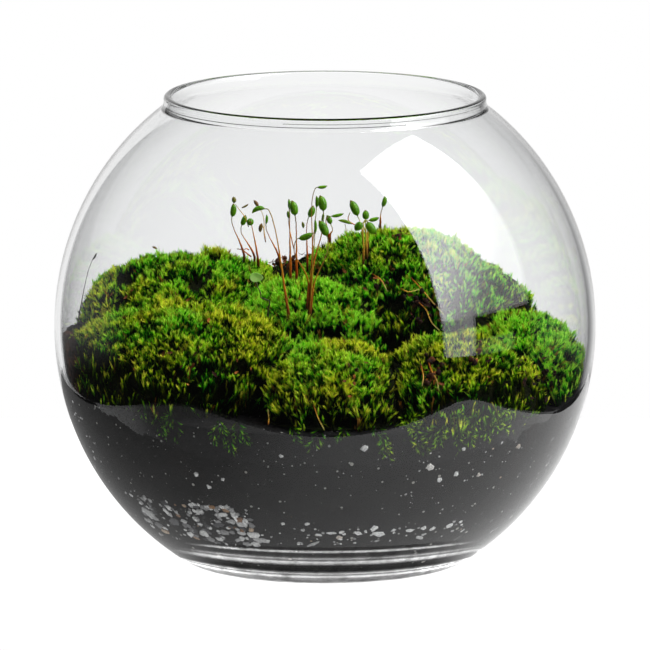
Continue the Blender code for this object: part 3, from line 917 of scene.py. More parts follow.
def buildMossBed(name, others, finish, roots):
    bm = bmesh.new()
    bm.from_mesh(nodes[name].data)
    bmesh.ops.remove_doubles(bm, verts=bm.verts[:], dist=0.002 * mm)
    # the wells that stalks stand in are closed
    wells = [v for v in bm.verts if np.linalg.norm(roots - v.co.xy, axis=1).min() < moss["wellRadius"]]
    bmesh.ops.delete(bm, geom=wells, context="VERTS")
    rims = [edge for edge in bm.edges if edge.is_boundary]
    bmesh.ops.triangulate(bm, faces=bmesh.ops.holes_fill(bm, edges=rims, sides=0)["faces"])
    bmesh.ops.subdivide_edges(bm, edges=bm.edges[:], cuts=2, use_grid_fill=True)
    bm.normal_update()
    size, start = moss["patches"]["hollow"]
    lumpSize, lumpHeight = moss["bedLumps"]
    reach, share = moss["bedAtGlass"]
    moved = []
    for vert in bm.verts:
        normal = vert.normal.copy()
        inset = moss["bedJoint"]
        if others.ray_cast(vert.co + normal * moss["skin"], normal, moss["touching"])[0] is None:
            nearGlass = float(insideRadius(vert.co.z)) - vert.co.xy.length < reach
            hollow = noise.noise(vert.co * size + Vector(start))
            inset = moss["bedInset"] * (share if nearGlass else 1.0)
            inset += noise.noise(vert.co * lumpSize) * lumpHeight + max(0.0, -hollow) * moss["bedHollows"]
        moved.append(vert.co - normal * inset)
    for vert, place in zip(bm.verts, moved):
        vert.co = place
    mesh = bpy.data.meshes.new(name + "_bed")
    bm.to_mesh(mesh)
    bm.free()
    mesh.shade_smooth()
    addPiece(name + "_bed", mesh, [name], finish)


def buildMoss():
    leafFinish, bedShadeFinish = buildMossFinish(), buildBedShadeFinish()
    up = np.array([0, 0, 1.0])
    roots = rootPlaces()
    for number, name in enumerate(mossNodes):
        rng = np.random.default_rng(moss["seed"] + number)
        others = treeOf([other for other in mossNodes + ["soil_bed"] if other != name])
        points, normals = exposedSamples(rng, name, others, moss["perSquareMm"])
        yellow, bright, deeper = moss["tone"][name]
        hollow = patchTone(points, "hollow") + 0.45 * patchTone(points, "smallHollow")
        steep = np.clip(1.15 - 1.4 * normals[:, 2], 0, 1)
        drawn, shift, bare = moss["streaks"]
        streak = patchTone(points * [1, 1, drawn], "streak") + shift
        thinned = rng.uniform(size=len(points)) < 1 - (1 - moss["faceShare"]) * steep
        thinned &= streak * steep > bare
        deepest, ragged = moss["bald"]
        kept = thinned & (hollow > deepest - ragged * rng.uniform(size=len(points)))
        points, normals, steep = points[kept], normals[kept], steep[kept]
        count = len(points)
        reach = insideRadius(points[:, 2]) - np.linalg.norm(points[:, :2], axis=1)
        nearGlass = reach < moss["nearGlass"]
        lengths = rng.uniform(*moss["spire"], count) * (1 - steep)
        lengths += rng.uniform(*moss["strand"], count) * steep
        lump = 0.9 * patchTone(points, "lump") + 0.5 * patchTone(points, "smallLump")
        outward, upward, (scatter, calmer) = moss["outward"], moss["upward"], moss["scatter"]
        directions = normals * (outward[0] + outward[1] * steep)[:, None]
        directions = directions + up * (upward[0] + upward[1] * steep)[:, None]
        directions[nearGlass] = normals[nearGlass] * 0.1 + up
        scattered = scatter * rng.normal(size=(count, 3)) * (1 - calmer * steep)[:, None]
        directions = unit(unit(directions) + scattered)
        strayShare, strayHeight = moss["stray"]
        stray = np.where(rng.uniform(size=count) < strayShare, strayHeight, 0.0)
        bases = points - directions * (lengths * 0.85)[:, None]
        bases += normals * (lump * moss["lump"] - moss["sink"] + stray)[:, None] - up * deeper * mm
        drift, onLumps, differ = moss["yellowness"]
        patch = yellow + drift * patchTone(points, "yellow") + onLumps * lump
        patch = np.clip(patch + differ * rng.normal(size=count), 0, 1)
        chance = np.clip(rng.uniform(size=count) * (1 - 0.35 * steep) + 0.35 * steep, 0, 1)
        leaves, openness = moss["leaves"], (1 - 0.35 * steep)[:, None]
        leafScale = (1 + 0.2 * steep)[:, None, None]
        shoots, faces, ageAndLight = growShoots(rng, bases, directions, lengths, leaves, leafScale, openness)
        shoots = keepInside(shoots, moss["glassGap"])
        plain, differ, onLumps, onSides = moss["light"]
        # painted light and shade: shoots on lumps lighter, shoots on steep sides darker
        light = bright * (plain + differ * rng.normal(size=count) + onLumps * lump) + onSides * steep
        ageAndLight = np.clip(ageAndLight * light[:, None, None], 0, 1).reshape(-1)
        layers = {"ageAndLight": ageAndLight, "chance": np.repeat(chance, leaves * 3), "patch": np.repeat(patch, leaves * 3)}
        mesh = triangleMesh(name + "_shoots", shoots, faces, layers=layers)
        addPiece(name + "_shoots", mesh, [name], leafFinish)
        buildMossBed(name, others, bedShadeFinish, roots)
        print("moss", name, count, "shoots", len(faces), "triangles")


buildMoss()


sprigs = {
    "seed": 33,
    "clear": 0.22 * mm,
    "depth": 0.75 * mm,
    "length": (3.5, 7.0),
    "bend": 0.5,
    "twigs": 8,
    "twigLength": (0.26, 0.44),
    "leaves": 16,
    "leafShape": (0.75, 1.1, 0.7),      # size, openness and slimness
    "shade": (0.72, 1.02),
    "ageAndLight": (0.36, 0.60),                # at the foot of a twig, and how much more at its tip
    # degrees from and to, heights from and to in mm, how many, the way they point in degrees from up, and
    # how yellow they are
    "regions": [
        (-46, -34, 46, 53, 7, (140, 200), 0.45), (-26, -17, 44, 52, 7, (140, 200), 0.35),
        (13, 33, 43, 53, 22, (60, 200), 0.80), (33, 54, 43, 53, 24, (60, 200), 0.75),
        (54, 72, 44, 51, 7, (90, 200), 0.40), (-80, -50, 47, 51, 4, (60, 180), 0.30),
        (-10, 13, 47, 51, 4, (140, 220), 0.35), (80, 275, 40, 50, 46, (60, 300), 0.45),
    ],
}


def buildSprigs():
    rng = np.random.default_rng(sprigs["seed"])
    bases, directions, lengths, tones = [], [], [], []
    for fromAngle, toAngle, bottom, top, count, way, tone in sprigs["regions"]:
        for _ in range(count):
            azimuth = rng.uniform(fromAngle, toAngle)
            height = (bottom + (top - bottom) * rng.uniform() ** 0.7) * mm
            place, aside, upward, outward = atGlass(azimuth, height, sprigs["depth"])
            turn = math.radians(rng.uniform(*way)) * rng.choice([-1, 1])
            ahead = math.cos(turn) * upward + math.sin(turn) * aside
            beside = -math.sin(turn) * upward + math.cos(turn) * aside
            length = rng.uniform(*sprigs["length"]) * mm
            bend = rng.uniform(-sprigs["bend"], sprigs["bend"])
            for k in range(sprigs["twigs"]):
                share = k / sprigs["twigs"]
                foot = place + ahead * length * share + beside * bend * length * share**2
                side = (-1) ** k * (0.8 - 0.4 * share)
                bases.append(foot)
                directions.append(ahead + beside * (side + bend * share) + outward * rng.uniform(-0.1, 0.25))
                lengths.append(length * rng.uniform(*sprigs["twigLength"]) * (1.15 - 0.5 * share))
                tones.append(tone + rng.normal() * 0.15)
    bases, directions, lengths = np.array(bases), unit(np.array(directions)), np.array(lengths)
    leaves = sprigs["leaves"]
    points, faces, ageAndLight = growShoots(rng, bases, directions, lengths, leaves, *sprigs["leafShape"])
    points = keepInside(points, sprigs["clear"])
    shade = rng.uniform(*sprigs["shade"], len(bases))[:, None, None]
    youngest, growth = sprigs["ageAndLight"]
    ageAndLight = np.clip((youngest + ageAndLight * growth) * shade, 0, 0.97).reshape(-1)
    patch = np.repeat(np.clip(tones, 0, 1), leaves * 3)
    chance = np.repeat(rng.uniform(0, 0.9, len(bases)), leaves * 3)
    layers = {"ageAndLight": ageAndLight, "chance": chance, "patch": patch}
    mesh = triangleMesh("trailing_sprigs", points, faces, layers=layers)
    addPiece("trailing_sprigs", mesh, finish=bpy.data.materials["moss_leaves"])
    print("sprigs", len(bases), "twigs", len(faces), "triangles")


buildSprigs()


stalk = {
    "rootRadius": 0.44 * mm,
    "neckRadius": 0.15 * mm,
    "bundleRoot": (-4.6 * mm, -13.6 * mm),
    "bundleTop": (-2.6 * mm, -12.2 * mm),
    "rootDepth": 2.0 * mm,
    "pull": 0.3,
    "rise": 1.5 * mm,
    "reach": 3.0 * mm,
    "neckGap": 0.05 * mm,
    "wobble": 0.03 * mm,
    "thin": 0.78,
    "gather": (0.85, 0.22 * mm),    # how far the bundled stalks are pulled together, and their spread
    "sides": 8,
    "steps": 26,
    "capsuleCells": (18, 20),
    "seed": 21,
    "stout": (4, 6, 7, 8, 19),      # the others are thinner
    "bundled": (8, 9, 10, 12, 13, 14),
    "bundledDry": 0.3,
    "dry": 23,                      # the stray one at the left glass
    "dryThin": 0.5,
    "bend": (0.03, 0.08),           # how bent the capsules are
    "bent": {4: 0.20},
    # how golden each stalk is, where it isn't red
    "golden": {4: 0.3, 9: 0.4, 10: 0.2, 12: 0.3, 13: 0.6, 15: 0.3, 17: 0.8, 18: 0.9, 19: 1.0, 20: 0.9,
               21: 1.0, 22: 0.2},
    # colours from the root to the neck
    "red": [(0.0, (0.060, 0.016, 0.006)), (0.16, (0.55, 0.080, 0.008)), (0.42, (1.00, 0.270, 0.012)),
            (0.66, (0.62, 0.170, 0.060)), (0.9, (0.34, 0.210, 0.150)), (1.0, (0.26, 0.300, 0.060))],
    "gold": [(0.0, (0.10, 0.035, 0.010)), (0.2, (0.70, 0.320, 0.030)), (0.42, (1.00, 0.760, 0.080)),
             (0.8, (1.00, 0.900, 0.160)), (1.0, (0.45, 0.520, 0.060))],
    # how brown the capsule is at its neck and lid
    "capsuleEnds": [(0.0, 1.0), (0.12, 0.0), (0.84, 0.0), (0.93, 0.8), (1.0, 1.0)],
}


def sweep(path, radii, sides):
    # a closed round tube along a path, with its ends closed to a point
    path = np.asarray(path, float)
    tangent = unit(np.gradient(path, axis=0))
    start = Vector(tangent[0]).orthogonal().normalized()
    frames = []
    for direction in tangent:
        start = (start - Vector(direction) * start.dot(Vector(direction))).normalized()
        frames.append((np.array(start), np.cross(direction, np.array(start))))
    angles = np.arange(sides) * 2 * math.pi / sides
    cos, sin = np.cos(angles)[:, None], np.sin(angles)[:, None]
    rings = [p + r * (cos * u + sin * w) for p, r, (u, w) in zip(path, radii, frames)]
    points = np.concatenate(rings + [path[:1], path[-1:]])
    faces = ringFaces(len(path), sides).tolist()
    first, last = len(points) - 2, len(points) - 1
    end = (len(path) - 1) * sides
    for j in range(sides):
        k = (j + 1) % sides
        faces.append([first, k, j])
        faces.append([last, end + j, end + k])
    share = np.linspace(0, 1, len(path))
    along = np.concatenate([np.repeat(share, sides), [0, 1]])
    return points, faces, along


def smoothPath(spots, steps):
    t = np.linspace(0, len(spots) - 1, steps)
    path = np.stack([np.interp(t, np.arange(len(spots)), spots[:, k]) for k in range(3)], axis=1)
    return smoothProfile(path, 3)


def tubePiece(name, path, radii, sides, standsFor, finish, layers=None):
    points, faces, along = sweep(path, radii, sides)
    values = {key: np.full(len(points), value) for key, value in (layers or {}).items()}
    mesh = smoothMesh(name, points, faces, {"along": along, **values})
    addPiece(name, mesh, standsFor, finish)


def buildStalkFinish():
    finish, t, shader = newFinish("wiry_stalk", Roughness=0.38, Specular_IOR_Level=0.08)
    along, warm = t.layer("along"), t.layer("warm")
    colour = t.mix(warm, t.ramp(along, stalk["red"]), t.ramp(along, stalk["gold"]))
    colour = t.mix(t.layer("dry"), colour, (0.020, 0.012, 0.008))
    streak = t.stretch(t.noise(t.place(), 900.0, 2.0), 2.4, -1.15)
    t.join(t.mix(streak, colour, (0.06, 0.02, 0.01)), shader.inputs["Base Color"])
    return finish


def buildCapsuleFinish():
    finish, t, shader = newFinish("green_capsule", Roughness=0.32, Specular_IOR_Level=0.25,
                                  Coat_Weight=0.2, Coat_Roughness=0.15)
    along = t.layer("along")
    place = t.place()
    green = t.use(mottle, "Color", Place=place, Size=700.0, Grain=0.4,
                  Dark=(0.060, 0.210, 0.003), Light=(0.170, 0.440, 0.010))
    ends = t.ramp(along, [(spot, (share,) * 3) for spot, share in stalk["capsuleEnds"]])
    colour = t.mix(ends, green, (0.170, 0.130, 0.020))
    colour = t.mix(t.layer("brown"), colour, (0.230, 0.110, 0.035))
    colour = t.mix(t.layer("dry"), colour, (0.020, 0.016, 0.010))
    t.join(colour, shader.inputs["Base Color"])
    t.join(t.bump(t.noise(place, 2500.0, 2.0), 0.25, 0.0001), shader.inputs["Normal"])
    return finish


def capsuleFacts(number):
    # a capsule's neck, tip and width, and its stalk's root, from the frame
    body, stem = nodePoints(f"capsule_{number:02d}"), nodePoints(f"seta_{number:02d}")
    centre = (body.max(0) + body.min(0)) / 2
    axis = np.linalg.svd(body - body.mean(0))[2][0]
    reach = (body - centre) @ axis
    centre = centre + axis * (reach.max() + reach.min()) / 2
    length = reach.max() - reach.min()
    radial = (body - centre) - np.outer((body - centre) @ axis, axis)
    width = 2 * np.linalg.norm(radial, axis=1).max()
    ends = [centre - axis * length / 2, centre + axis * length / 2]
    gaps = [np.linalg.norm(stem - end, axis=1).min() for end in ends]
    if gaps[1] < gaps[0]:
        axis = -axis
    root = stem[stem[:, 2] < stem[:, 2].min() + 0.3 * mm].mean(0)
    return centre, axis, length, width, root


def stalkPath(centre, axis, length, root, steps):
    neck = centre - axis * (length / 2 + stalk["neckGap"])
    start = root + [0, 0, stalk["rootDepth"]]
    rise = start + (neck - start) * stalk["pull"] + [0, 0, stalk["rise"]]
    bend = neck - axis * stalk["reach"]
    t = np.linspace(0, 1, steps)[:, None]
    curve = start * (1 - t) ** 3 + rise * 3 * t * (1 - t) ** 2 + bend * 3 * t * t * (1 - t) + neck * t**3
    return np.concatenate([[root], curve])


def addCapsule(name, centre, axis, length, width, bend, cells, slim, standsFor, layers):
    # from neck to beak: a slim collar, a plump urn and a small pointed lid
    rings, sides = cells
    t = np.linspace(0, 1, rings)
    swell = np.abs(2 * np.clip((t - 0.05) / 0.88, 0, 1) ** 0.92 - 1)
    radius = width / 2 * np.sqrt(1 - np.clip(swell, 0, 1) ** 2.3)
    collar = np.interp(t, [0, 0.06, 0.14], [0.16 * mm, 0.19 * mm, 0.0])
    beak = np.interp(t, [0.88, 0.93, 0.97, 1.0], [0.0, width * 0.16, width * 0.10, width * 0.02])
    radius = np.maximum.reduce([radius, collar, beak])
    spine = np.stack([bend * length * (1 - (2 * t - 1) ** 2), np.zeros(rings), length * (t - 0.5)], axis=1)
    aside = unit(np.cross([0, 1, 0], axis))
    turn = np.stack([aside, unit(np.cross(axis, aside)), axis], axis=1)
    path = spine @ turn.T + centre
    tubePiece(name, path, radius * slim, sides, standsFor, capsuleFinish, layers)


def buildSporophytes():
    rng = np.random.default_rng(stalk["seed"])
    numbers = sorted(int(name[-2:]) for name in nodes if name.startswith("capsule_"))
    for number in numbers:
        centre, axis, length, width, root = capsuleFacts(number)
        path = stalkPath(centre, axis, length, root, stalk["steps"])
        share = np.linspace(0, 1, len(path))
        radii = stalk["rootRadius"] + (stalk["neckRadius"] - stalk["rootRadius"]) * np.clip(share * 1.7, 0, 1)
        path[1:-1] += rng.normal(size=(len(path) - 2, 3)) * stalk["wobble"]
        # the dry one is a black thread, and the bundled ones are darker than the rest
        isDry, bundled = number == stalk["dry"], number in stalk["bundled"]
        dry = 1.0 if isDry else stalk["bundledDry"] if bundled else 0.0
        radii *= stalk["dryThin"] if isDry else 1.0 if number in stalk["stout"] else stalk["thin"]
        if bundled:
            share = np.clip((path[:, 2] - path[0, 2]) / (path[-1, 2] - path[0, 2]), 0, 1)
            most, spread = stalk["gather"]
            pull = most * np.cos(math.pi / 2 * np.clip((share - 0.35) / 0.5, 0, 1)) ** 2
            bundleRoot, bundleTop = np.array(stalk["bundleRoot"]), np.array(stalk["bundleTop"])
            bundle = bundleRoot + share[:, None] * (bundleTop - bundleRoot)
            path[:, :2] += (bundle + rng.normal(size=2) * spread - path[:, :2]) * pull[:, None]
        warm = stalk["golden"].get(number, rng.uniform(0, 0.15))
        tubePiece(f"stalk_{number:02d}", path, radii, stalk["sides"], [f"seta_{number:02d}"],
                  stalkFinish, {"warm": warm, "dry": dry})
        bend = stalk["bent"][number] if number in stalk["bent"] else rng.uniform(*stalk["bend"])
        slim, layers = 0.7 if isDry else 1.0, {"brown": 0.9 * isDry, "dry": float(isDry)}
        addCapsule(f"spore_case_{number:02d}", centre, axis, length, width, bend, stalk["capsuleCells"], slim,
                   [f"capsule_{number:02d}"], layers)


stalkFinish, capsuleFinish = buildStalkFinish(), buildCapsuleFinish()
buildSporophytes()
print("stalks and capsules grown")


# the smaller shoots and husks between the stalks, in mm: across and up in the front view, from the
# bowl's middle, and how far back they stand; then how thick and how golden the threads are, and how wide
# and how brown the husks are
strays = {
    "threads": [
        ("husk_strand", 23.0, 0.10, 0.5, [(-25.1, 33.2), (-23.9, 31.6), (-22.3, 29.6), (-21.3, 26.8)]),
        ("tan_strand", 18.0, 0.10, 0.6,
         [(-18.7, 32.3), (-17.5, 31.0), (-16.9, 28.6), (-17.0, 25.5), (-16.6, 23.6)]),
        ("pod_strand", -8.0, 0.12, 0.6, [(-17.5, 27.6), (-16.9, 26.4), (-16.8, 24.6), (-16.4, 22.6)]),
        ("small_strand", 9.0, 0.12, 0.1, [(-10.2, 29.3), (-10.0, 27.0), (-9.4, 24.0), (-8.6, 20.6)]),
        ("level_strand", 23.0, 0.10, 0.2, [(5.6, 27.6), (5.9, 26.0), (5.8, 23.6), (6.2, 21.0)]),
        ("hook_strand", 24.0, 0.14, 0.0, [(7.0, 30.8), (6.4, 29.4), (6.5, 28.4), (7.9, 27.6), (9.0, 27.0)]),
        ("crest_twig", 30.0, 0.18, 0.0, [(-24.6, 20.8), (-23.2, 20.6), (-21.9, 19.6), (-20.6, 18.6)]),
        ("crest_fork", 30.0, 0.14, 0.0, [(-22.9, 20.4), (-22.0, 20.9), (-21.2, 20.5)]),
    ],
    "husks": [
        ("husk_bud", 23.0, (-25.4, 33.4), (-25.6, 35.2), 1.25, 0.7),
        ("grey_husk", 23.0, (-23.2, 32.1), (-21.3, 33.2), 0.55, 0.8),
        ("tan_husk", 18.0, (-18.6, 32.2), (-19.9, 34.2), 1.0, 1.0),
        ("nodding_pod", -8.0, (-17.4, 27.7), (-17.9, 25.2), 1.1, 0.9),
        ("small_case", 9.0, (-10.1, 29.2), (-10.4, 31.2), 1.0, 0.15),
        ("level_case", 23.0, (7.5, 27.6), (3.6, 28.6), 0.95, 0.3),
        ("stem_bud", -11.0, (-6.0, 26.4), (-6.3, 28.2), 0.8, 0.5),
        ("low_bud", -13.0, (-0.9, 28.2), (-0.5, 30.6), 0.75, 0.4),
        ("wall_husk", 4.0, (-46.6, 20.8), (-48.0, 21.4), 0.6, 0.9),
    ],
}


def frontPlace(across, up, back):
    tilt = math.radians(view["elevation"])
    height = (up + back * -math.sin(tilt)) / math.cos(tilt)
    return np.array([across * mm, back * mm, bowl["middle"] + height * mm])


def buildStrays():
    for name, back, thickness, warm, spots in strays["threads"]:
        spots = np.array([frontPlace(across, up, back) for across, up in spots])
        path = smoothPath(spots, 18)
        radii = np.linspace(0.8, 1.3, len(path)) * thickness * mm
        tubePiece(name, path[::-1], radii[::-1], 6, (), stalkFinish, {"warm": warm})
    for name, back, neck, tip, width, brown in strays["husks"]:
        neck, tip = frontPlace(*neck, back), frontPlace(*tip, back)
        length = np.linalg.norm(tip - neck)
        axis = (tip - neck) / length
        addCapsule(name, (neck + tip) / 2, axis, length, width * mm, 0.06, (14, 14), 1.0, (),
                   {"brown": brown})


buildStrays()
print("strays added")


litter = {
    "seed": 44,
    "lift": 0.35 * mm,
    "backSunk": 1.8 * mm,       # the cushions at the back are lower than their plain solids
    # in the front view: middle across and up in mm, spread across and up, how many flakes and crumbs,
    # their tone and how far they lift off the moss
    "zones": [
        (-13.5, 19.6, 6.5, 2.2, 44, 26, (0.30, 0.75)), (-5.0, 21.5, 4.0, 2.0, 6, 8, (0.05, 0.5)),
        (21.4, 26.2, 2.6, 1.6, 12, 3, (0.35, 0.75)), (29.5, -13.5, 3.6, 3.4, 14, 14, (0.08, 0.85)),
        (27.5, 5.5, 4.5, 5.0, 12, 14, (0.05, 0.45)), (57.0, -14.0, 6.0, 6.0, 14, 12, (0.05, 0.45)),
        (-40.0, -9.0, 17.0, 7.0, 14, 0, (0.25, 0.9)), (8.0, -15.0, 9.0, 6.0, 8, 2, (0.2, 0.9)),
        (-48.0, 9.0, 12.0, 3.0, 6, 0, (0.3, 0.9)), (12.0, 12.0, 10.0, 5.0, 8, 3, (0.1, 0.8)),
        (43.0, -9.0, 7.0, 5.0, 10, 4, (0.1, 0.8)), (-31.5, 1.0, 0.6, 0.5, 2, 0, (0.7, 0.8)),
        (-64.6, -4.0, 0.6, 0.6, 2, 0, (0.7, 0.8)), (53.0, 3.5, 6.0, 4.0, 6, 4, (0.1, 0.7)),
    ],
    "flake": (0.9 * mm, 2.3 * mm),
    "crumb": (0.35 * mm, 0.9 * mm),
    "roots": [
        [(23.5, 12.5), (26.0, 10.0), (29.5, 6.0), (32.5, 2.5)],
        [(25.0, 6.5), (28.0, 4.0), (29.0, 0.5), (31.5, -1.5)],
        [(20.5, 9.5), (23.0, 8.6), (26.0, 9.2)], [(28.4, -10.2), (29.3, -13.0), (30.6, -15.5), (31.0, -18.0)],
        [(26.4, -11.0), (27.2, -14.5), (26.8, -17.0)], [(-15.5, -28.0), (-14.6, -25.6), (-15.0, -23.2)],
        [(-3.0, -22.0), (-1.6, -25.5), (0.0, -28.5)], [(13.0, 13.5), (15.6, 12.0), (17.4, 8.8)],
    ],
    "rootRadius": 0.16 * mm,
    # bare earth at the left glass: degrees from and to, heights from and to in mm, how many lumps
    "earth": (-86.0, -70.0, 49.0, 66.0, 90),
    "earthSize": (0.9 * mm, 1.9 * mm),
    "brown": [(0.0, (0.006, 0.003, 0.002)), (0.3, (0.050, 0.018, 0.010)), (0.6, (0.260, 0.080, 0.020)),
              (0.85, (0.720, 0.260, 0.040)), (1.0, (0.780, 0.520, 0.160))],
}


def buildLitterFinish():
    finish, t, shader = newFinish("dead_leaves", Roughness=0.8, Specular_IOR_Level=0.15)
    brown = t.ramp(t.layer("tone"), litter["brown"])
    dust = t.noise(t.place(), 1500.0, 3.0)
    shade = t.mix(t.stretch(dust, 2.2, -0.7), (0.45, 0.42, 0.42), (1.1, 1.1, 1.1))
    t.join(t.mix(1.0, brown, shade, "MULTIPLY"), shader.inputs["Base Color"])
    return finish


def buildLitter():
    rng = np.random.default_rng(litter["seed"])
    ground = treeOf(mossNodes + ["soil_bed"])
    tilt = math.radians(view["elevation"])
    ahead = Vector((0, math.cos(tilt), -math.sin(tilt)))
    pile = Pile("tone")

    def land(across, up):
        start = Vector(frontPlace(across, up, -90.0))
        spot, normal = ground.ray_cast(start, ahead)[:2]
        return (None, None) if spot is None else (np.array(spot), np.array(normal))

    u, v = np.meshgrid(np.linspace(0, 1, 6), np.linspace(-1, 1, 3), indexing="ij")
    cells = [[3 * i + j, 3 * i + 3 + j, 3 * i + 4 + j, 3 * i + 1 + j] for i in range(5) for j in range(2)]
    for across, up, wide, tall, flakes, crumbCount, tone in litter["zones"]:
        for k in range(flakes + crumbCount):
            spot, normal = land(across + rng.normal() * wide / 2, up + rng.normal() * tall / 2)
            along = unit(rng.normal(size=3))
            size = rng.uniform(*(litter["flake"] if k < flakes else litter["crumb"]))
            shade, offset, curl = rng.uniform(*tone), Vector(rng.uniform(0, 50, 3)), rng.uniform(-0.4, 0.6)
            if spot is None:
                continue
            beside = unit(np.cross(normal, along))
            along = unit(np.cross(beside, normal) + 0.5 * rng.normal() * normal)
            spot = spot + normal * litter["lift"] - [0, 0, litter["backSunk"] if spot[1] > 0 else 0]
            if k < flakes:
                width = 0.22 * np.sin(math.pi * np.clip(u, 0.04, 0.97)) ** 0.7
                shape = (u - 0.5)[..., None] * along + (v * width)[..., None] * beside
                shape = shape + (curl * (2 * u - 1) ** 2 * 0.5 + 0.25 * np.abs(v) * width)[..., None] * normal
                pile.add(spot + shape.reshape(-1, 3) * size, cells, tone=shade)
            else:
                pile.add(spot + lumpyBall(0.5, 1.5, offset) * size, ballFaces, tone=shade * 0.6)
    fromAngle, toAngle, bottom, top, count = litter["earth"]
    for _ in range(count):
        size = rng.uniform(*litter["earthSize"])
        azimuth, height = rng.uniform(fromAngle, toAngle), rng.uniform(bottom, top) * mm
        place = atGlass(azimuth, height, size * 0.8)[0]
        lump = lumpyBall(0.5, 1.8, Vector(rng.uniform(0, 50, 3)))
        pile.add(place + lump * size, ballFaces, tone=rng.uniform(0.10, 0.48))
    points, faces, layers = pile.joined()
    mesh = smoothMesh("leaf_litter", keepInside(points, 0.3 * mm), faces, layers)
    addPiece("leaf_litter", mesh, finish=buildLitterFinish())
    for number, spots in enumerate(litter["roots"], 1):
        landed = [land(across, up) for across, up in spots]
        path = np.array([spot + normal * 0.8 * mm for spot, normal in landed if spot is not None])
        path = smoothPath(path, 14)
        radii = np.full(len(path), litter["rootRadius"])
        tubePiece(f"root_{number:02d}", keepInside(path, 0.5 * mm), radii, 6, (), stalkFinish,
                  {"warm": 0.35 + 0.1 * (number % 4)})


buildLitter()
print("litter scattered")


seedling = {
    "stemRadii": (0.24 * mm, 0.15 * mm),
    "stem": [(0.0, (0.02, 0.012, 0.008)), (0.6, (0.05, 0.03, 0.012)), (1.0, (0.16, 0.20, 0.06))],
    "leafCells": (16, 12),
    "leafForward": 0.12 * mm,
    "leafThickness": 0.22 * mm,
    "taper": 0.25,
    "cup": 0.2 * mm,
    "wave": 0.048 * mm,
}


def buildSeedling():
    low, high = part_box("seedling_leaf")
    centre = np.array((low + high) / 2)
    stem = nodePoints("seedling_stem")
    order = np.argsort(stem[:, 2])
    stem = stem[order]
    heights = np.linspace(stem[0, 2], stem[-1, 2], 12)
    spine = []
    for z in heights:
        near = np.abs(stem[:, 2] - z) < 1.3 * mm
        spine.append(stem[near].mean(0) if near.any() else spine[-1])
    spine = np.array(spine)
    spine[:, 2] = heights
    spine[-1] = centre - [0, 0, (high.z - low.z) / 2 - 0.2 * mm]
    stemFinish, t, shader = newFinish("seedling_stem", Roughness=0.5)
    t.join(t.ramp(t.layer("along"), seedling["stem"]), shader.inputs["Base Color"])
    tubePiece("seedling_shoot", spine, np.linspace(*seedling["stemRadii"], len(spine)), 8,
              ["seedling_stem"], stemFinish)

    leafFinish, t, shader = newFinish("seedling_leaf", Roughness=0.4)
    blade = t.use(mottle, "Color", Place=t.place(), Size=900.0, Grain=0.4,
                  Dark=(0.50, 1.00, 0.20), Light=(0.68, 1.00, 0.30))
    t.join(blade, shader.inputs["Base Color"])
    around, rings = seedling["leafCells"]
    half = np.array((high - low) / 2)
    shares, angles = np.arange(1, rings + 1) / rings, np.arange(around) * 2 * math.pi / around
    share, angle = np.meshgrid(shares, angles, indexing="ij")
    x = np.cos(angle) * half[0] * share
    z = np.sin(angle) * half[2] * (1 - seedling["taper"] * np.cos(angle)) * share
    cup = seedling["cup"] * share**2 + seedling["wave"] * np.sin(2 * angle) * share
    start = seedling["leafForward"]
    front = np.stack([x, -start - cup, z], axis=-1).reshape(-1, 3)
    front = np.concatenate([[[0, -start, 0]], front])
    back = front + [0, seedling["leafThickness"], 0]
    n, edge = len(front), 1 + (rings - 1) * around
    pairs = [(s, (s + 1) % around) for s in range(around)]
    faces = [[0, 1 + k, 1 + s] for s, k in pairs] + (ringFaces(rings, around) + 1).tolist()
    faces += [[n + i for i in reversed(face)] for face in faces]
    faces += [[edge + s, edge + k, n + edge + k, n + edge + s] for s, k in pairs]
    mesh = smoothMesh("seedling_blade", np.concatenate([front, back]) + centre, faces)
    turnFacesOut(mesh)
    addPiece("seedling_blade", mesh, ["seedling_leaf"], leafFinish)


buildSeedling()
print("seedling planted")


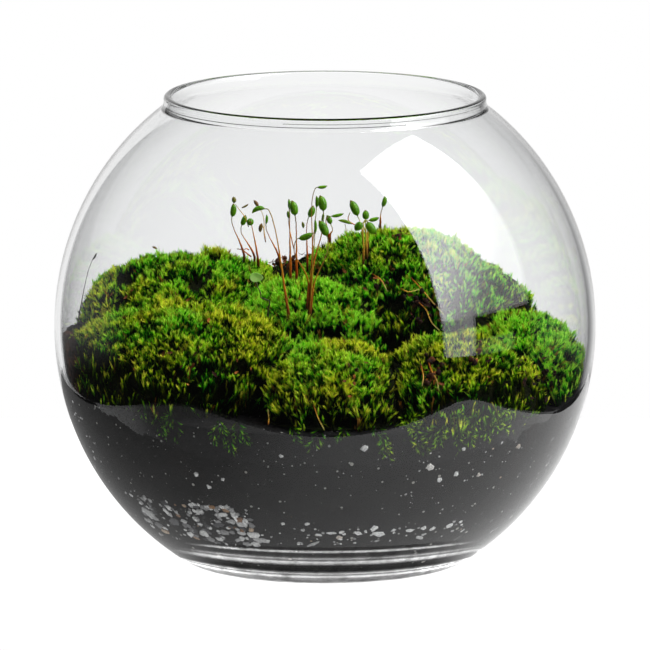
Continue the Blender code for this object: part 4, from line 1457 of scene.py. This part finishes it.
studio = {
    # the board under the bowl: its outline in mm, its own colour, and how it shines when seen and when
    # it lights the bowl
    "board": [(-172, 240), (-172, -60), (-160, -96), (-141, -118), (-110, -130), (-70, -134), (110, -133),
              (150, -129), (168, -115), (172, -95), (163, -30), (157, 40), (155, 240)],
    "boardColour": (0.05, 0.05, 0.05),
    "boardGlow": 1.1,
    "boardFill": 0.8,
    # how bright the board looks mirrored in the glass, with painted shade dim on the left where the bowl's
    # shadow falls and painted light bright on the right: place across in mm and radiance
    "paintedBoardReflection": [(-170, 0.10), (-60, 0.28), (-10, 0.85), (40, 1.00), (80, 1.10), (170, 1.20)],
    # painted reflection: how bright the board looks mirrored inside the glass, dark in front and pale behind
    "paintedInsideReflection": (0.02, 0.45),            # mirrored inside the glass: in front and behind
    "insideTurn": (-60 * mm, -20 * mm),     # where front turns into behind
    # painted light: bright rings, as the glass throws them on the board round its foot, painted into the
    # board's glow and seen only mirrored in the glass: radius in mm and radiance
    "rings": [(34.0, 1.0), (36.5, 0.8), (38.4, 2.0), (38.7, 4.5), (39.1, 6.5), (39.5, 5.0), (40.0, 1.0),
              (40.4, 6.0), (40.8, 2.4), (41.1, 1.0), (41.6, 0.1), (43.8, 0.2), (44.3, 1.7), (44.6, 4.4),
              (45.1, 6.4), (45.5, 8.5), (46.0, 2.2), (46.4, 2.2), (46.9, 5.2), (47.3, 1.8), (47.8, 0.7),
              (48.2, 0.5), (49.3, 0.5), (49.6, 4.5), (50.0, 9.0), (50.35, 4.5), (50.8, 0.4), (52.0, 0.4)],
    "paintedRingEnds": [(-46 * mm, -28 * mm), (50 * mm, 28 * mm)],     # across: where they start, and are full
    "paintedRingBreaks": (220.0, 2.2, -0.25),      # how many to a metre, and how hard they are
    # painted shadow under the foot: the share of the board's mirrored glow taken away where the rings are
    "paintedFootShadow": 0.95,                      # how much of the board's own shine the rings take away
    # the white sheet behind: where each edge starts and where it is full, and its radiance
    "backdrop": [("X", -0.43, -0.40), ("X", 0.54, 0.08), ("Z", -0.45, -0.35), ("Z", 0.50, 0.40)],
    "sheet": 0.85,
    "dark": 0.012,                          # the rest of the room
    "darkInside": 0.35,                     # and how bright it is at most, mirrored inside the glass
    "insideAhead": (0.05, 0.45),
    "insideUp": (-0.28, -0.05),
    "roomTop": (0.62, 0.40),                # seen straight through: where the pale walls end
    "roomFloor": (-0.90, -0.75),
    "ambient": 0.08,                        # the light that reaches the plants from all round
    "ambientAhead": (-0.1, 0.8),
    "ambientGain": 0.5,
    # the window: its middle in metres, which way it runs across and up, and its size
    "windowMiddle": (0.769, -0.158, 0.686),
    "windowAcross": (193, 378, -7),
    "windowUp": (-260, 147, 739),
    "windowSize": (0.848, 1.594),
    # how the window dims across and up, and where that starts and ends
    "windowFall": (1.1, 0.85, 2.0),
    "windowDims": (0.20, 1.10),
    # the sheer lower part of the window, across and up it from 0 to 1, and its radiances
    "windowSill": 0.15,
    "windowSide": 0.31,
    "windowGap": (0.78, 0.06),
    "radiance": (6.0, 1.3),
    "sideRadiance": 1.8,
    "gapRadiance": 0.3,
    # the light above: its place, what it faces, the length of its sides and its radiance
    "topFill": ((-0.25, 0.25, 1.0), (0, 0, 0.06), 0.45, 8.0),
}


def buildBoard():
    edge = [(x * mm, y * mm, -0.2 * mm) for x, y in studio["board"]]
    mesh = bpy.data.meshes.new("white_board")
    mesh.from_pydata(edge, [], [list(range(len(edge)))])
    board = addObject("white_board", mesh)
    finish, t, shader = newFinish("white_board", Base_Color=studio["boardColour"], Roughness=0.7,
                                  Specular_IOR_Level=0.0, Emission_Color=(1.0, 1.0, 1.0))

    def glowAlong(value, places, smooth):
        # a radiance that changes with a value, from the table's first place to its last
        first, last = places[0][0] * mm, places[-1][0] * mm
        strongest = max(glow for _, glow in places)
        stops = [((place * mm - first) / (last - first), (glow / strongest,) * 3) for place, glow in places]
        share = t.math("DIVIDE", t.math("SUBTRACT", value, first), last - first)
        return t.times(t.ramp(share, stops, smooth), strongest)

    path = t.add("ShaderNodeLightPath")
    straight = t.most(path.outputs["Is Camera Ray"], path.outputs["Is Transmission Ray"])
    spot = t.split(t.place())
    # painted light and shade across the board as the glass mirrors it
    paintedMirrorGlow = glowAlong(spot["X"], studio["paintedBoardReflection"], smooth=True)
    centre = t.add("ShaderNodeVectorMath", operation="LENGTH")
    t.join(t.place(), centre.inputs[0])
    # painted light: the bright rings round the foot
    rings = glowAlong(centre.outputs["Value"], studio["rings"], smooth=False)
    reach = [t.fade(spot["X"], none, full) for none, full in studio["paintedRingEnds"]]
    size, gain, shift = studio["paintedRingBreaks"]
    broken = t.stretch(t.noise(t.place(), size), gain, shift)
    onPaintedRings = t.times(*reach)
    onPaintedRings = t.times(onPaintedRings, t.under(centre.outputs["Value"], studio["rings"][-1][0] * mm))
    # painted shadow under the foot
    shaded = t.times(paintedMirrorGlow, t.math("SUBTRACT", 1.0, t.times(onPaintedRings, studio["paintedFootShadow"])))
    mirrored = t.math("ADD", shaded, t.times(t.times(rings, broken), onPaintedRings))
    inGlass = t.over(path.outputs["Glossy Depth"], 0.5)
    inside = t.over(path.outputs["Transmission Depth"], 0.5)
    behind = t.fade(spot["Y"], *studio["insideTurn"], *studio["paintedInsideReflection"])
    mirrored = t.between(inside, mirrored, behind)
    plain = t.math("MULTIPLY_ADD", straight, studio["boardGlow"] - studio["boardFill"], studio["boardFill"])
    t.join(t.between(inGlass, plain, mirrored), shader.inputs["Emission Strength"])
    mesh.materials.append(finish)


def addAreaLight(name, place, facing, size, radiance, glossy=True):
    light = bpy.data.lights.new(name, "AREA")
    light.shape = "RECTANGLE"
    light.size, light.size_y = size
    light.energy = radiance * math.pi * size[0] * size[1]
    lamp = addObject(name, light)
    lamp.location = place
    lamp.rotation_euler = facing.to_euler()
    lamp.visible_glossy = glossy
    lamp.visible_camera = False
    lamp.visible_transmission = glossy
    return light


def buildFill():
    place, target, side, radiance = studio["topFill"]
    facing = (Vector(target) - Vector(place)).to_track_quat("-Z", "Y")
    addAreaLight("top_fill", place, facing.to_matrix(), (side, side), radiance, glossy=False)


def buildWindow():
    # a soft window that dims towards its lower far corner, with a sheer part below its sill
    across = Vector(studio["windowAcross"]).normalized()
    up = Vector(studio["windowUp"])
    up = (up - across * up.dot(across)).normalized()
    facing = Matrix((across, up, across.cross(up))).transposed()
    light = addAreaLight("window_light", Vector(studio["windowMiddle"]), facing, studio["windowSize"], 1.0)
    light.use_nodes = True
    t = Tree(light.node_tree)
    x, y, _ = t.split(t.add("ShaderNodeNewGeometry").outputs["Parametric"])
    slope, shift, rise = studio["windowFall"]
    away = t.math("SUBTRACT", t.math("MULTIPLY_ADD", x, slope, shift), t.times(y, rise))
    fall = t.fade(away, *studio["windowDims"], *studio["radiance"])
    gapRight, gapBottom = studio["windowGap"]
    side = t.times(t.under(x, studio["windowSide"]), studio["sideRadiance"])
    strip = t.times(t.under(x, gapRight), t.under(y, gapBottom))
    strip = t.times(strip, studio["gapRadiance"])
    below = t.most(side, strip)
    above = t.over(y, studio["windowSill"])
    strength = t.times(t.math("SUBTRACT", fall, below), above)
    t.join(t.math("ADD", strength, below), light.node_tree.nodes["Emission"].inputs["Strength"])


def buildWorld():
    world = bpy.data.worlds.new("studio")
    scene.world = world
    world.use_nodes = True
    t = Tree(world.node_tree)
    background = t.tree.nodes["Background"]
    toward = t.split(t.add("ShaderNodeTexCoord").outputs["Generated"])
    path = t.add("ShaderNodeLightPath")

    def fade(axis, none, full):
        ends = (0.0, 1.0) if none < full else (1.0, 0.0)
        return t.fade(toward[axis], min(none, full), max(none, full), *ends)

    sheet = fade("Y", 0.0, 0.1)
    for axis, none, full in studio["backdrop"]:
        sheet = t.times(sheet, fade(axis, none, full))
    inside = t.times(t.over(path.outputs["Transmission Depth"], 0.5), studio["darkInside"])
    inside = t.times(inside, t.times(fade("Y", *studio["insideAhead"]), fade("Z", *studio["insideUp"])))
    mirrored = t.most(t.times(sheet, studio["sheet"]), t.most(inside, studio["dark"]))
    walls = t.times(fade("Z", *studio["roomTop"]), fade("Z", *studio["roomFloor"]))
    straight = t.most(walls, studio["dark"])
    ambient = t.math("ADD", t.times(fade("Y", *studio["ambientAhead"]), studio["ambientGain"]),
                     studio["ambient"])
    bounced = t.over(path.outputs["Glossy Depth"], 0.5)
    lensed = t.most(path.outputs["Is Transmission Ray"], path.outputs["Is Glossy Ray"])
    indirect = t.between(lensed, ambient, t.between(bounced, straight, mirrored))
    strength = t.most(indirect, path.outputs["Is Camera Ray"])
    background.inputs["Color"].default_value = (1, 1, 1, 1)
    t.join(strength, background.inputs["Strength"])


buildBoard()
buildWorld()
buildWindow()
buildFill()
scene.view_settings.view_transform = "Standard"
# enough bounces for glass seen through glass
scene.cycles.max_bounces = scene.cycles.transmission_bounces = scene.cycles.transparent_max_bounces = 16
scene.cycles.glossy_bounces = 10
scene.cycles.diffuse_bounces = 3
scene.cycles.caustics_reflective = scene.cycles.caustics_refractive = False
print("studio lit")
